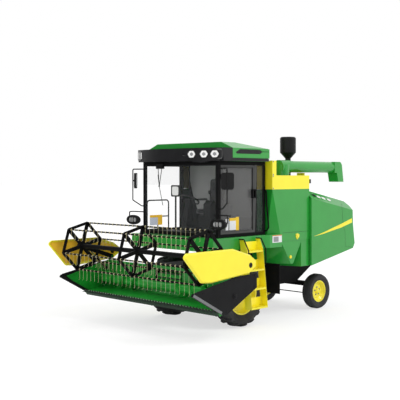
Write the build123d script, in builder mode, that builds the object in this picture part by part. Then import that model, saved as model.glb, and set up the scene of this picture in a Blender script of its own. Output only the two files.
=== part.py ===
from build123d import *
import math
import os

# Self-propelled combine harvester with a grain header and a pick-up reel.
# Millimetres. X points to the machine's left, Y to its rear and Z up; the ground is Z = 0.
# Y stations are measured from the front axle, whose own place is FRONT_AXLE_Y.

os.makedirs("parts", exist_ok=True)

# ---------------------------------------------------------------- driving dimensions
FRONT_AXLE_Y = -540
WHEELBASE = 2795
REAR_AXLE_Y = FRONT_AXLE_Y + WHEELBASE
RUN_GAP = 0.3          # clearance of a shaft in its bore
MOVE_GAP = 6           # clearance of pieces that pass each other
SHEET = 15             # folded sheet-metal wall with its stiffeners

# wheels
FRONT_TRACK_HALF = 920
FRONT_TYRE_R = 632
FRONT_TYRE_W = 378
FRONT_RIM_R = 400
REAR_TRACK_HALF = 740
REAR_TYRE_R = 380
REAR_TYRE_W = 230
REAR_RIM_R = 236
SPINDLE_R = 45
HUB_R = 120
KINGPIN_X = 560
KINGPIN_R = 24

# separator body, the closed box that carries everything
SEP_HALF = 600
SEP_FRONT_Y = FRONT_AXLE_Y + 480
SEP_BOTTOM_Z = 620
SEP_TOP_Z = 1600
SEP_PAN_Y = FRONT_AXLE_Y + 2250
SEP_REAR_Y = FRONT_AXLE_Y + 2800
SEP_REAR_Z = 930

# platform and ladder
DECK_TOP_Z = 1750
DECK_T = 30
APRON_Y = FRONT_AXLE_Y - 930
APRON_BOTTOM_Z = 1495

# cab
CAB_HALF = 1060
PLATFORM_HALF = CAB_HALF + 90
CAB_FRONT_Y = FRONT_AXLE_Y - 700
CAB_REAR_Y = FRONT_AXLE_Y + 660
CAB_TOP_Z = 3200
CAB_WALL = 60
WINDOW_TOP_Z = 3130
SILL_Z = 1810
DOOR_REAR_Y = FRONT_AXLE_Y + 340
POST_W = 60
GLASS_T = 6
ROOF_HALF = CAB_HALF + 140
ROOF_REAR_Y = FRONT_AXLE_Y + 630
ROOF_SIDE_Z = 3450
ROOF_CROWN_Z = 3570

# grain tank
TANK_HALF = 1215
TANK_FRONT_Y = FRONT_AXLE_Y + 700
TANK_REAR_Y = FRONT_AXLE_Y + 1910
TANK_TOP_Z = 2650
EXTENSION_TOP_Z = 2930
FRONT_BOX_TOP_Z = 3225
FRONT_BOX_DEPTH = 125

# rear hood
HOOD_HALF = TANK_HALF + 60
HOOD_REAR_Y = FRONT_AXLE_Y + 3505

# unloading auger
UNLOAD_X = TANK_HALF - 215
UNLOAD_Y = FRONT_AXLE_Y + 1270
UNLOAD_R = 120
UNLOAD_Z = 3110
SPOUT_Y = FRONT_AXLE_Y + 3190
SPOUT_BOTTOM_Z = 2790

# header, in its raised transport position
HEADER_HALF = 1870
FEEDER_PIVOT_Y = FRONT_AXLE_Y + 330
FEEDER_PIVOT_Z = 1050
KNIFE_Y = FRONT_AXLE_Y - 1570
KNIFE_Z = 575
AUGER_Y = FRONT_AXLE_Y - 1160
AUGER_Z = 800
AUGER_TUBE_R = 80
AUGER_FLIGHT_R = 160
AUGER_SHAFT_R = 25
TROUGH_R = 180
BACK_TOP_Z = 1130
HEADER_SHEET = 12
END_PLATE_T = 20
TIP_Y = FRONT_AXLE_Y - 2200
TIP_Z = 900

# reel
REEL_Y = FRONT_AXLE_Y - 1765
REEL_Z = 1509
REEL_R = 477
REEL_PHASE = 106
REEL_HALF = HEADER_HALF - 130
SPIDER_X = REEL_HALF - 30
BAT_COUNT = 6
TINE_LEN = 200
TINE_PITCH = 120
TINE_END = 50            # the outer tines stand at least this far in from the bats' ends
TINE_COUNT = int((2 * REEL_HALF - 2 * TINE_END) / TINE_PITCH)
ARM_PIVOT_Y = FRONT_AXLE_Y - 950
ARM_PIVOT_Z = 1240


# ---------------------------------------------------------------- small shared tools
def yz_solid(points, x_from, x_to, mode=Mode.ADD):
    """Extrude a side outline, given as (y, z) points, from one x to another."""
    with BuildSketch(Plane.YZ.offset(x_from)) as outline:
        Polygon(*points)
    extrude(outline.sketch, amount=x_to - x_from, mode=mode)


def xz_solid(points, y_from, y_to, mode=Mode.ADD):
    """Extrude a front outline, given as (x, z) points, from one y to another."""
    with BuildSketch(Plane.XZ.offset(-y_from)) as outline:
        Polygon(*points)
    extrude(outline.sketch, amount=y_from - y_to, mode=mode)


def xy_solid(points, z_from, z_to, mode=Mode.ADD):
    """Extrude a plan outline, given as (x, y) points, from one z to another."""
    with BuildSketch(Plane.XY.offset(z_from)) as outline:
        Polygon(*points)
    extrude(outline.sketch, amount=z_to - z_from, mode=mode)


def block(x_span, y_span, z_span, mode=Mode.ADD):
    """A box between pairs of x, y and z."""
    corner = Location((min(x_span), min(y_span), min(z_span)))
    with Locations(corner):
        Box(
            abs(x_span[1] - x_span[0]),
            abs(y_span[1] - y_span[0]),
            abs(z_span[1] - z_span[0]),
            align=(Align.MIN, Align.MIN, Align.MIN),
            mode=mode,
        )


def rod(start, end, radius, mode=Mode.ADD):
    """A round bar or bore from one point to another."""
    axis = Vector(*end) - Vector(*start)
    with BuildSketch(Plane(origin=start, z_dir=axis)) as section:
        Circle(radius)
    extrude(section.sketch, amount=axis.length, mode=mode)


def tube_path(points, radius, bend):
    """A round tube along straight runs joined by bends of one radius."""
    with BuildLine() as route:
        FilletPolyline(*points, radius=bend)
    with BuildSketch(Plane(origin=points[0], z_dir=Vector(*points[1]) - Vector(*points[0]))) as section:
        Circle(radius)
    sweep(section.sketch, path=route.line)


def save(builder, name):
    """Label a finished sub-part and write its STEP file."""
    builder.part.label = name
    export_step(builder.part, f"parts/{name}.step")


def polar(centre, radius, degrees):
    """A (y, z) point at an angle measured from forwards, towards up."""
    turn = math.radians(degrees)
    return (centre[0] - radius * math.cos(turn), centre[1] + radius * math.sin(turn))


# ---------------------------------------------------------------- wheels
# name, side, axle y, half the track, tyre radius, tyre width, rim radius, lug height, lugs a row
WHEELS = (
    ("front_left", 1, FRONT_AXLE_Y, FRONT_TRACK_HALF, FRONT_TYRE_R, FRONT_TYRE_W, FRONT_RIM_R, 34, 17),
    ("front_right", -1, FRONT_AXLE_Y, FRONT_TRACK_HALF, FRONT_TYRE_R, FRONT_TYRE_W, FRONT_RIM_R, 34, 17),
    ("rear_left", 1, REAR_AXLE_Y, REAR_TRACK_HALF, REAR_TYRE_R, REAR_TYRE_W, REAR_RIM_R, 0, 0),
    ("rear_right", -1, REAR_AXLE_Y, REAR_TRACK_HALF, REAR_TYRE_R, REAR_TYRE_W, REAR_RIM_R, 0, 0),
)
TREAD_DROP = 14        # fall of the tread from its middle to its edge
TREAD_LUG_T = 46       # thickness of a drive lug along the tread
LUG_SWEEP = 95         # how far a lug's outer end trails its inner end
LUG_ROOT = 40          # depth of a lug below its top at the tread's edge
BEAD_SHARE = 0.72      # share of the tyre's width between its beads
RIM_LIP = 26
RIM_WELL = 60
DISC_T = 16
HUB_LEN = 90
HUB_COLLAR = 10


def wheel_plane(side, axle_y, track, axle_z):
    """Plane whose x runs outwards along the axle and whose y is the wheel's radius."""
    return Plane(origin=(side * track, axle_y, axle_z), x_dir=(side, 0, 0), z_dir=(0, -side, 0))


def drive_lugs(side, axle_y, track, tyre_r, tyre_w, lug_h, lug_count):
    """Two rows of slanted lugs, staggered by half a pitch, standing on the carcass."""
    root_r = tyre_r - lug_h - LUG_ROOT
    edge = tyre_w / 2 - 4
    pitch = 360 / lug_count
    for row in (-1, 1):
        planes = []
        for step in range(lug_count):
            turn = math.radians(step * pitch + (pitch / 2 if row > 0 else 0))
            radial = (0, math.sin(turn), math.cos(turn))
            centre = (side * track, axle_y + root_r * radial[1], tyre_r + root_r * radial[2])
            planes.append(Plane(origin=centre, x_dir=(1, 0, 0), z_dir=radial))
        with BuildSketch(*planes) as lugs:
            Polygon(
                (-row * 12, (TREAD_LUG_T + LUG_SWEEP) / 2),
                (-row * 12, (-TREAD_LUG_T + LUG_SWEEP) / 2),
                (row * edge, -(TREAD_LUG_T + LUG_SWEEP) / 2),
                (row * edge, (TREAD_LUG_T - LUG_SWEEP) / 2),
            )
        extrude(lugs.sketch, amount=lug_h + LUG_ROOT)


for name, side, axle_y, track, tyre_r, tyre_w, rim_r, lug_h, lug_count in WHEELS:
    plane = wheel_plane(side, axle_y, track, tyre_r)
    axle_line = Axis((0, axle_y, tyre_r), (1, 0, 0))
    half_w = tyre_w / 2
    shoulder = half_w * 0.82
    bead = half_w * BEAD_SHARE
    carcass_r = tyre_r - lug_h
    bulge_r = rim_r + (tyre_r - rim_r) * 0.45
    flank_r = rim_r + (carcass_r - rim_r) * 0.82
    with BuildPart() as tyre:
        with BuildSketch(plane) as tyre_section:
            with BuildLine():
                Polyline(
                    (-bead, rim_r),
                    (-half_w, bulge_r),
                    (-half_w * 0.97, flank_r),
                    (-shoulder, carcass_r - TREAD_DROP),
                    (-shoulder * 0.6, carcass_r),
                    (shoulder * 0.6, carcass_r),
                    (shoulder, carcass_r - TREAD_DROP),
                    (half_w * 0.97, flank_r),
                    (half_w, bulge_r),
                    (bead, rim_r),
                    close=True,
                )
            make_face()
        revolve(tyre_section.sketch, axis=axle_line)
        if lug_count:
            drive_lugs(side, axle_y, track, tyre_r, tyre_w, lug_h, lug_count)
            # the crown trims the lugs' tops
            with BuildSketch(plane) as crown:
                Polygon(
                    (-half_w, 0), (-half_w, tyre_r - LUG_ROOT), (-shoulder, tyre_r - TREAD_DROP),
                    (-shoulder * 0.6, tyre_r), (shoulder * 0.6, tyre_r), (shoulder, tyre_r - TREAD_DROP),
                    (half_w, tyre_r - LUG_ROOT), (half_w, 0),
                )
            revolve(crown.sketch, axis=axle_line, mode=Mode.INTERSECT)
    save(tyre, f"tyre_{name}")

    with BuildPart() as rim:
        dish = half_w * 0.05
        with BuildSketch(plane) as rim_section:
            with BuildLine():
                Polyline(
                    (-bead, rim_r),
                    (-bead, rim_r - RIM_LIP),
                    (-half_w * 0.3, rim_r - RIM_WELL),
                    (0, rim_r - RIM_WELL),
                    (dish, HUB_R),
                    (-HUB_LEN, HUB_R),
                    (-HUB_LEN, SPINDLE_R + RUN_GAP),
                    (dish + DISC_T, SPINDLE_R + RUN_GAP),
                    (dish + DISC_T, HUB_R + HUB_COLLAR),
                    (DISC_T, rim_r - RIM_WELL - 12),
                    (bead - 20, rim_r - RIM_LIP),
                    (bead, rim_r - RIM_LIP),
                    (bead, rim_r),
                    close=True,
                )
            make_face()
        revolve(rim_section.sketch, axis=axle_line)
    save(rim, f"rim_{name}")

# ---------------------------------------------------------------- chassis and axles
TRUNNION_R = 35
FEEDER_INNER_X = 345
LIFT_X = 330
LIFT_BASE = (FRONT_AXLE_Y + 60, 470)
LIFT_PIN_R = 12
EYE_HALF = 14
LUG_T = 14
RAIL_W = 100
RAIL_TOP_Z = 900
AXLE_TUBE_R = 75
DROP_BOX_R = 165
GEARBOX_Z = 520
GEARBOX_R = 150
GEARBOX_HALF = 180
with BuildPart() as chassis:
    rod((-FRONT_TRACK_HALF + 200, FRONT_AXLE_Y, FRONT_TYRE_R),
        (FRONT_TRACK_HALF - 200, FRONT_AXLE_Y, FRONT_TYRE_R),
        AXLE_TUBE_R)
    rod((-GEARBOX_HALF, FRONT_AXLE_Y, GEARBOX_Z), (GEARBOX_HALF, FRONT_AXLE_Y, GEARBOX_Z), GEARBOX_R)
    for side in (-1, 1):
        inner = side * (FRONT_TRACK_HALF - 240)
        outer = side * (FRONT_TRACK_HALF - HUB_LEN - MOVE_GAP)
        rod((inner, FRONT_AXLE_Y, FRONT_TYRE_R), (outer, FRONT_AXLE_Y, FRONT_TYRE_R), DROP_BOX_R)
        rod((outer, FRONT_AXLE_Y, FRONT_TYRE_R),
            (side * (FRONT_TRACK_HALF + 20), FRONT_AXLE_Y, FRONT_TYRE_R), SPINDLE_R)
        block((side * (SEP_HALF - RAIL_W), side * SEP_HALF), (FRONT_AXLE_Y - 180, SEP_FRONT_Y),
              (FRONT_TYRE_R, RAIL_TOP_Z))
        # pivot plate of the feeder house
        yz_solid(
            [
                (FEEDER_PIVOT_Y - 150, RAIL_TOP_Z),
                (SEP_FRONT_Y, RAIL_TOP_Z),
                (SEP_FRONT_Y, FEEDER_PIVOT_Z + 130),
                (FEEDER_PIVOT_Y - 60, FEEDER_PIVOT_Z + 70),
            ],
            side * SEP_HALF,
            side * (SEP_HALF - 30),
        )
        rod((side * SEP_HALF, FEEDER_PIVOT_Y, FEEDER_PIVOT_Z),
            (side * (FEEDER_INNER_X), FEEDER_PIVOT_Y, FEEDER_PIVOT_Z), TRUNNION_R)
        # lugs of the header lift cylinder
        for offset_x in (-EYE_HALF - 1 - LUG_T, EYE_HALF + 1):
            lug_x = side * LIFT_X + offset_x
            yz_solid(
                [
                    (LIFT_BASE[0] - 30, FRONT_TYRE_R - 62),
                    (LIFT_BASE[0] + 12, FRONT_TYRE_R - 22),
                    (LIFT_BASE[0] + 28, LIFT_BASE[1] + 28),
                    (LIFT_BASE[0] + 28, LIFT_BASE[1] - 28),
                    (LIFT_BASE[0] - 20, LIFT_BASE[1] - 28),
                    (LIFT_BASE[0] - 20, LIFT_BASE[1] + 50),
                ],
                lug_x,
                lug_x + LUG_T,
            )
        rod((side * LIFT_X - EYE_HALF - 2, *LIFT_BASE), (side * LIFT_X + EYE_HALF + 2, *LIFT_BASE),
            LIFT_PIN_R)
save(chassis, "chassis_frame")

# separator body
ELEVATOR_T = 160
ELEVATOR_Y = (FRONT_AXLE_Y + 1960, FRONT_AXLE_Y + 2160)
ELEVATOR_FOOT_Z = 760
PULLEY_T = 45
# station, height, radius
PULLEYS = (
    (FRONT_AXLE_Y + 1180, 900, 110),
    (FRONT_AXLE_Y + 1560, 850, 150),
    (FRONT_AXLE_Y + 2450, 1330, 190),
)
with BuildPart() as separator:
    yz_solid(
        [
            (SEP_FRONT_Y, SEP_BOTTOM_Z),
            (SEP_PAN_Y, SEP_BOTTOM_Z),
            (SEP_REAR_Y, SEP_REAR_Z),
            (SEP_REAR_Y, SEP_TOP_Z),
            (SEP_FRONT_Y, SEP_TOP_Z),
        ],
        -SEP_HALF,
        SEP_HALF,
    )
    # clean-grain elevator and its boot on the right side
    block((-SEP_HALF - ELEVATOR_T, -SEP_HALF), ELEVATOR_Y, (ELEVATOR_FOOT_Z, SEP_TOP_Z))
    boot_y = (ELEVATOR_Y[0] + ELEVATOR_Y[1]) / 2
    rod((-SEP_HALF - ELEVATOR_T, boot_y, ELEVATOR_FOOT_Z), (-SEP_HALF, boot_y, ELEVATOR_FOOT_Z),
        (ELEVATOR_Y[1] - ELEVATOR_Y[0]) / 2)
    # drive pulleys on the right side
    for y, z, radius in PULLEYS:
        rod((-SEP_HALF, y, z), (-SEP_HALF - PULLEY_T, y, z), radius)
        rod((-SEP_HALF - PULLEY_T, y, z), (-SEP_HALF - PULLEY_T - 30, y, z), 40)
save(separator, "separator_body")

# ---------------------------------------------------------------- rear axle and steering
BEAM_BOTTOM_Z = 470
BEAM_TOP_Z = 570
BEAM_HALF_Y = 50
BEAM_HALF_X = KINGPIN_X + 55
BARREL_R = 48
BARREL_BOTTOM_Z = 300
ARM_LEN = 165
ARM_T = 24
TIE_PIN_R = 10
TIE_EYE_R = 24
HITCH_Y = REAR_AXLE_Y + 300
HITCH_Z = 620
HITCH_T = 40
HITCH_BORE_R = 16


def pan_z(y):
    """Height of the separator's sloping rear pan at a station."""
    slope = (SEP_REAR_Z - SEP_BOTTOM_Z) / (SEP_REAR_Y - SEP_PAN_Y)
    return SEP_BOTTOM_Z + slope * (y - SEP_PAN_Y)


with BuildPart() as rear_axle:
    block((-BEAM_HALF_X, BEAM_HALF_X), (REAR_AXLE_Y - BEAM_HALF_Y, REAR_AXLE_Y + BEAM_HALF_Y),
          (BEAM_BOTTOM_Z, BEAM_TOP_Z))
    for side in (-1, 1):
        rod((side * KINGPIN_X, REAR_AXLE_Y, BEAM_BOTTOM_Z - 1),
            (side * KINGPIN_X, REAR_AXLE_Y, BEAM_TOP_Z + 1),
            KINGPIN_R + RUN_GAP, mode=Mode.SUBTRACT)
        # carrier plate between the beam and the separator's pan
        yz_solid(
            [
                (REAR_AXLE_Y - 160, pan_z(REAR_AXLE_Y - 160)),
                (REAR_AXLE_Y - BEAM_HALF_Y, BEAM_TOP_Z),
                (REAR_AXLE_Y + BEAM_HALF_Y, BEAM_TOP_Z),
                (SEP_REAR_Y, SEP_REAR_Z),
            ],
            side * 180,
            side * 150,
        )
    block((-150, 150), (REAR_AXLE_Y - 30, REAR_AXLE_Y + 30), (BEAM_TOP_Z, HITCH_Z + 130))
    block((-40, 40), (REAR_AXLE_Y + 30, HITCH_Y + 40), (HITCH_Z - HITCH_T / 2, HITCH_Z + HITCH_T / 2))
    rod((0, HITCH_Y, HITCH_Z - HITCH_T), (0, HITCH_Y, HITCH_Z + HITCH_T), HITCH_BORE_R, mode=Mode.SUBTRACT)
save(rear_axle, "rear_axle")

for name, side in (("left", 1), ("right", -1)):
    with BuildPart() as knuckle:
        pin_x = side * KINGPIN_X
        rod((pin_x, REAR_AXLE_Y, BARREL_BOTTOM_Z), (pin_x, REAR_AXLE_Y, BEAM_BOTTOM_Z - RUN_GAP), BARREL_R)
        rod((pin_x, REAR_AXLE_Y, BARREL_BOTTOM_Z), (pin_x, REAR_AXLE_Y, BEAM_TOP_Z + 20), KINGPIN_R)
        rod((pin_x, REAR_AXLE_Y, REAR_TYRE_R), (side * (REAR_TRACK_HALF + 10), REAR_AXLE_Y, REAR_TYRE_R),
            SPINDLE_R)
        block((pin_x - 25, pin_x + 25), (REAR_AXLE_Y - ARM_LEN - 22, REAR_AXLE_Y),
              (BARREL_BOTTOM_Z, BARREL_BOTTOM_Z + ARM_T))
        rod((pin_x, REAR_AXLE_Y - ARM_LEN, BARREL_BOTTOM_Z),
            (pin_x, REAR_AXLE_Y - ARM_LEN, BARREL_BOTTOM_Z + 2 * ARM_T + 8), TIE_PIN_R)
    save(knuckle, f"knuckle_{name}")

TIE_BOTTOM_Z = BARREL_BOTTOM_Z + ARM_T + RUN_GAP
with BuildPart() as tie_rod:
    tie_y = REAR_AXLE_Y - ARM_LEN
    rod((-KINGPIN_X, tie_y, TIE_BOTTOM_Z + ARM_T / 2), (KINGPIN_X, tie_y, TIE_BOTTOM_Z + ARM_T / 2),
        ARM_T / 2 - 1)
    for side in (-1, 1):
        rod((side * KINGPIN_X, tie_y, TIE_BOTTOM_Z), (side * KINGPIN_X, tie_y, TIE_BOTTOM_Z + ARM_T),
            TIE_EYE_R)
    for side in (-1, 1):
        rod((side * KINGPIN_X, tie_y, TIE_BOTTOM_Z - 1), (side * KINGPIN_X, tie_y, TIE_BOTTOM_Z + ARM_T + 1),
            TIE_PIN_R + RUN_GAP, mode=Mode.SUBTRACT)
save(tie_rod, "tie_rod")

# ---------------------------------------------------------------- platform, ladder, rails
BEARER_X = (400, 460)
SIDE_BEAM_T = 30
BEAM_REAR_Y = FRONT_AXLE_Y + 770
APRON_CUT = 120        # bottom corners of the apron are cut off
with BuildPart() as platform:
    block((-PLATFORM_HALF, PLATFORM_HALF), (APRON_Y, TANK_FRONT_Y - MOVE_GAP),
          (DECK_TOP_Z - DECK_T, DECK_TOP_Z))
    xz_solid(
        [
            (-PLATFORM_HALF, DECK_TOP_Z), (PLATFORM_HALF, DECK_TOP_Z),
            (PLATFORM_HALF, APRON_BOTTOM_Z + APRON_CUT), (PLATFORM_HALF - APRON_CUT, APRON_BOTTOM_Z),
            (-PLATFORM_HALF + APRON_CUT, APRON_BOTTOM_Z), (-PLATFORM_HALF, APRON_BOTTOM_Z + APRON_CUT),
        ],
        APRON_Y,
        APRON_Y + SIDE_BEAM_T,
    )
    for side in (-1, 1):
        yz_solid(
            [
                (APRON_Y, DECK_TOP_Z), (BEAM_REAR_Y, DECK_TOP_Z), (BEAM_REAR_Y, APRON_BOTTOM_Z + 40),
                (APRON_Y + APRON_CUT, APRON_BOTTOM_Z), (APRON_Y, APRON_BOTTOM_Z + APRON_CUT),
            ],
            side * (PLATFORM_HALF - SIDE_BEAM_T),
            side * PLATFORM_HALF,
        )
        block((side * BEARER_X[0], side * BEARER_X[1]), (APRON_Y, TANK_FRONT_Y - MOVE_GAP),
              (SEP_TOP_Z, DECK_TOP_Z))
save(platform, "platform")

LADDER_Y = (FRONT_AXLE_Y - 200, FRONT_AXLE_Y + 270)
LADDER_TOP_Z = 1700
LADDER_BOTTOM_Z = 390
LADDER_LEAN = 140
LADDER_DEPTH = 170
LADDER_PLATE = 8
LADDER_STEPS = 4
STEP_PITCH = 355
STEP_T = 30
RISER_H = 200
CLEAT_COUNT = 4
CLEAT_LEN = 18


def ladder_x(z):
    """Inner edge of the ladder's side plates, which lean outwards going down."""
    return PLATFORM_HALF + LADDER_LEAN * (LADDER_TOP_Z - z) / (LADDER_TOP_Z - LADDER_BOTTOM_Z)


with BuildPart() as ladder:
    for y in (LADDER_Y[0], LADDER_Y[1] - LADDER_PLATE):
        xz_solid(
            [
                (ladder_x(LADDER_TOP_Z), LADDER_TOP_Z),
                (ladder_x(LADDER_TOP_Z) + LADDER_DEPTH - 60, LADDER_TOP_Z),
                (ladder_x(LADDER_TOP_Z - 200) + LADDER_DEPTH, LADDER_TOP_Z - 200),
                (ladder_x(LADDER_BOTTOM_Z) + LADDER_DEPTH, LADDER_BOTTOM_Z),
                (ladder_x(LADDER_BOTTOM_Z), LADDER_BOTTOM_Z),
            ],
            y,
            y + LADDER_PLATE,
        )
    for step in range(LADDER_STEPS):
        z = LADDER_BOTTOM_Z + step * STEP_PITCH
        tread_x = (ladder_x(z) + 4, ladder_x(z) + LADDER_DEPTH - 6)
        block(tread_x, LADDER_Y, (z, z + STEP_T))
        block((tread_x[0], tread_x[0] + 6), LADDER_Y, (z, z + RISER_H))
        # anti-slip cleats along the tread's outer edge
        cleat_pitch = (LADDER_Y[1] - LADDER_Y[0]) / CLEAT_COUNT
        for cleat in range(CLEAT_COUNT):
            middle = LADDER_Y[0] + cleat_pitch * (cleat + 0.5)
            block((tread_x[0] + 20, tread_x[1]), (middle - CLEAT_LEN, middle + CLEAT_LEN),
                  (z + STEP_T, z + STEP_T + 10))
save(ladder, "ladder")

RAIL_R = 14
GUARD_Y = (FRONT_AXLE_Y - 550, FRONT_AXLE_Y + 60)
GUARD_TOP_Z = 2410
GUARD_LOW_Z = 2070
GRAB_Y = CAB_REAR_Y - 20
with BuildPart() as handrails:
    rail_x = -(PLATFORM_HALF - 40)
    tube_path(
        [(rail_x, GUARD_Y[0], DECK_TOP_Z), (rail_x, GUARD_Y[0], GUARD_TOP_Z),
         (rail_x, GUARD_Y[1], GUARD_TOP_Z), (rail_x, GUARD_Y[1], DECK_TOP_Z)],
        RAIL_R, 70)
    # lower loop inside the guard rail
    tube_path(
        [(rail_x, GUARD_Y[0] + 300, DECK_TOP_Z), (rail_x, GUARD_Y[0] + 300, GUARD_LOW_Z),
         (rail_x, GUARD_Y[1], GUARD_LOW_Z)],
        RAIL_R - 2, 60)
    tube_path(
        [(CAB_HALF, GRAB_Y, 2640), (CAB_HALF + 40, GRAB_Y, 2640), (CAB_HALF + 55, GRAB_Y, 2400),
         (CAB_HALF + 110, GRAB_Y, 1900), (CAB_HALF + 60, GRAB_Y, 1830), (CAB_HALF, GRAB_Y, 1830)],
        RAIL_R, 30)
    # a curved hand rail above each side plate of the ladder
    for y in (LADDER_Y[0] - RAIL_R - 2, LADDER_Y[1] + RAIL_R + 2):
        tube_path(
            [(PLATFORM_HALF, y, DECK_TOP_Z - 40), (PLATFORM_HALF + 120, y, DECK_TOP_Z - 40),
             (ladder_x(1300) + LADDER_DEPTH + 30, y, 1500), (ladder_x(1300) + LADDER_DEPTH + 30, y, 1240),
             (ladder_x(1200) + LADDER_DEPTH - 20, y, 1200)],
            RAIL_R - 2, 30)
        rod((ladder_x(1200) + LADDER_DEPTH - 20, y - RAIL_R - 2, 1200),
            (ladder_x(1200) + LADDER_DEPTH - 20, y + RAIL_R + 2, 1200), RAIL_R - 2)
save(handrails, "handrails")

# ---------------------------------------------------------------- cab
WINDOW_IN = CAB_HALF - CAB_WALL
DOOR_Y = (CAB_FRONT_Y + POST_W + MOVE_GAP, DOOR_REAR_Y - MOVE_GAP)
DOOR_Z = (SILL_Z + MOVE_GAP, WINDOW_TOP_Z - MOVE_GAP)
DOOR_T = 40
DOOR_RAIL = 45
HANDLE_Y = (FRONT_AXLE_Y + 235, FRONT_AXLE_Y + 333)
HANDLE_Z = (2485, 2660)
QUARTER_Y = (DOOR_REAR_Y + POST_W, CAB_REAR_Y - POST_W)
REAR_WINDOW_X = 420
REAR_WINDOW_Z = (2720, 3040)
HINGE_X = CAB_HALF + 14
HINGE_Y = CAB_FRONT_Y + POST_W + MOVE_GAP / 2
HINGE_R = 11
HINGE_PIN_R = 6
HINGE_LEN = 50
HINGE_Z = (1950, 2900)
with BuildPart() as cab_frame:
    block((-CAB_HALF, CAB_HALF), (CAB_FRONT_Y, CAB_REAR_Y), (DECK_TOP_Z, CAB_TOP_Z))
    block((-CAB_HALF + CAB_WALL, CAB_HALF - CAB_WALL), (CAB_FRONT_Y + CAB_WALL, CAB_REAR_Y - CAB_WALL),
          (DECK_TOP_Z + 40, CAB_TOP_Z), mode=Mode.SUBTRACT)
    block((-WINDOW_IN, WINDOW_IN), (CAB_FRONT_Y, CAB_FRONT_Y + CAB_WALL), (SILL_Z, WINDOW_TOP_Z),
          mode=Mode.SUBTRACT)
    block((-REAR_WINDOW_X, REAR_WINDOW_X), (CAB_REAR_Y - CAB_WALL, CAB_REAR_Y), REAR_WINDOW_Z,
          mode=Mode.SUBTRACT)
    block((-CAB_HALF, CAB_HALF), (CAB_FRONT_Y + POST_W, DOOR_REAR_Y), (SILL_Z, WINDOW_TOP_Z),
          mode=Mode.SUBTRACT)
    block((-CAB_HALF, CAB_HALF), QUARTER_Y, (SILL_Z, WINDOW_TOP_Z), mode=Mode.SUBTRACT)
    # lower halves of the door's lift-off hinges, with their pins
    for z in HINGE_Z:
        block((CAB_HALF, HINGE_X), (HINGE_Y - 45, HINGE_Y), (z - HINGE_LEN, z))
        rod((HINGE_X, HINGE_Y, z - HINGE_LEN), (HINGE_X, HINGE_Y, z), HINGE_R)
        rod((HINGE_X, HINGE_Y, z - HINGE_LEN), (HINGE_X, HINGE_Y, z + HINGE_LEN), HINGE_PIN_R)
save(cab_frame, "cab_frame")

with BuildPart() as cab_glass:
    block((-WINDOW_IN, WINDOW_IN), (CAB_FRONT_Y + 10, CAB_FRONT_Y + 10 + GLASS_T), (SILL_Z, WINDOW_TOP_Z))
    block((-REAR_WINDOW_X, REAR_WINDOW_X), (CAB_REAR_Y - 30, CAB_REAR_Y - 30 + GLASS_T), REAR_WINDOW_Z)
    block((-CAB_HALF + 10, -CAB_HALF + 10 + GLASS_T), (CAB_FRONT_Y + POST_W, DOOR_REAR_Y),
          (SILL_Z, WINDOW_TOP_Z))
    for side in (-1, 1):
        block((side * (CAB_HALF - 10), side * (CAB_HALF - 10 - GLASS_T)), QUARTER_Y, (SILL_Z, WINDOW_TOP_Z))
save(cab_glass, "cab_glass")

with BuildPart() as cab_door:
    block((CAB_HALF - DOOR_T, CAB_HALF), DOOR_Y, DOOR_Z)
    block((CAB_HALF - DOOR_T, CAB_HALF), (DOOR_Y[0] + DOOR_RAIL, DOOR_Y[1] - DOOR_RAIL),
          (DOOR_Z[0] + DOOR_RAIL, DOOR_Z[1] - DOOR_RAIL), mode=Mode.SUBTRACT)
    # upper halves of the hinges
    for z in HINGE_Z:
        low = z + RUN_GAP
        block((CAB_HALF - 1, HINGE_X), (HINGE_Y + 10, HINGE_Y + 80), (low, low + HINGE_LEN))
        block((CAB_HALF + 4, HINGE_X), (HINGE_Y, HINGE_Y + 10), (low, low + HINGE_LEN))
        rod((HINGE_X, HINGE_Y, low), (HINGE_X, HINGE_Y, low + HINGE_LEN), HINGE_R)
        rod((HINGE_X, HINGE_Y, low - 1), (HINGE_X, HINGE_Y, low + HINGE_LEN + 1), HINGE_PIN_R + RUN_GAP,
            mode=Mode.SUBTRACT)
    # pull handle on the rear stile
    with BuildSketch(Plane.YZ.offset(CAB_HALF)) as handle:
        with Locations(((HANDLE_Y[0] + HANDLE_Y[1]) / 2, (HANDLE_Z[0] + HANDLE_Z[1]) / 2)):
            RectangleRounded(HANDLE_Y[1] - HANDLE_Y[0], HANDLE_Z[1] - HANDLE_Z[0], 20)
            RectangleRounded(HANDLE_Y[1] - HANDLE_Y[0] - 40, HANDLE_Z[1] - HANDLE_Z[0] - 40, 10,
                             mode=Mode.SUBTRACT)
    extrude(handle.sketch, amount=45)
save(cab_door, "cab_door")

with BuildPart() as door_glass:
    block((CAB_HALF - 20 - GLASS_T, CAB_HALF - 20), (DOOR_Y[0] + DOOR_RAIL, DOOR_Y[1] - DOOR_RAIL),
          (DOOR_Z[0] + DOOR_RAIL, DOOR_Z[1] - DOOR_RAIL))
save(door_glass, "door_glass")

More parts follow.
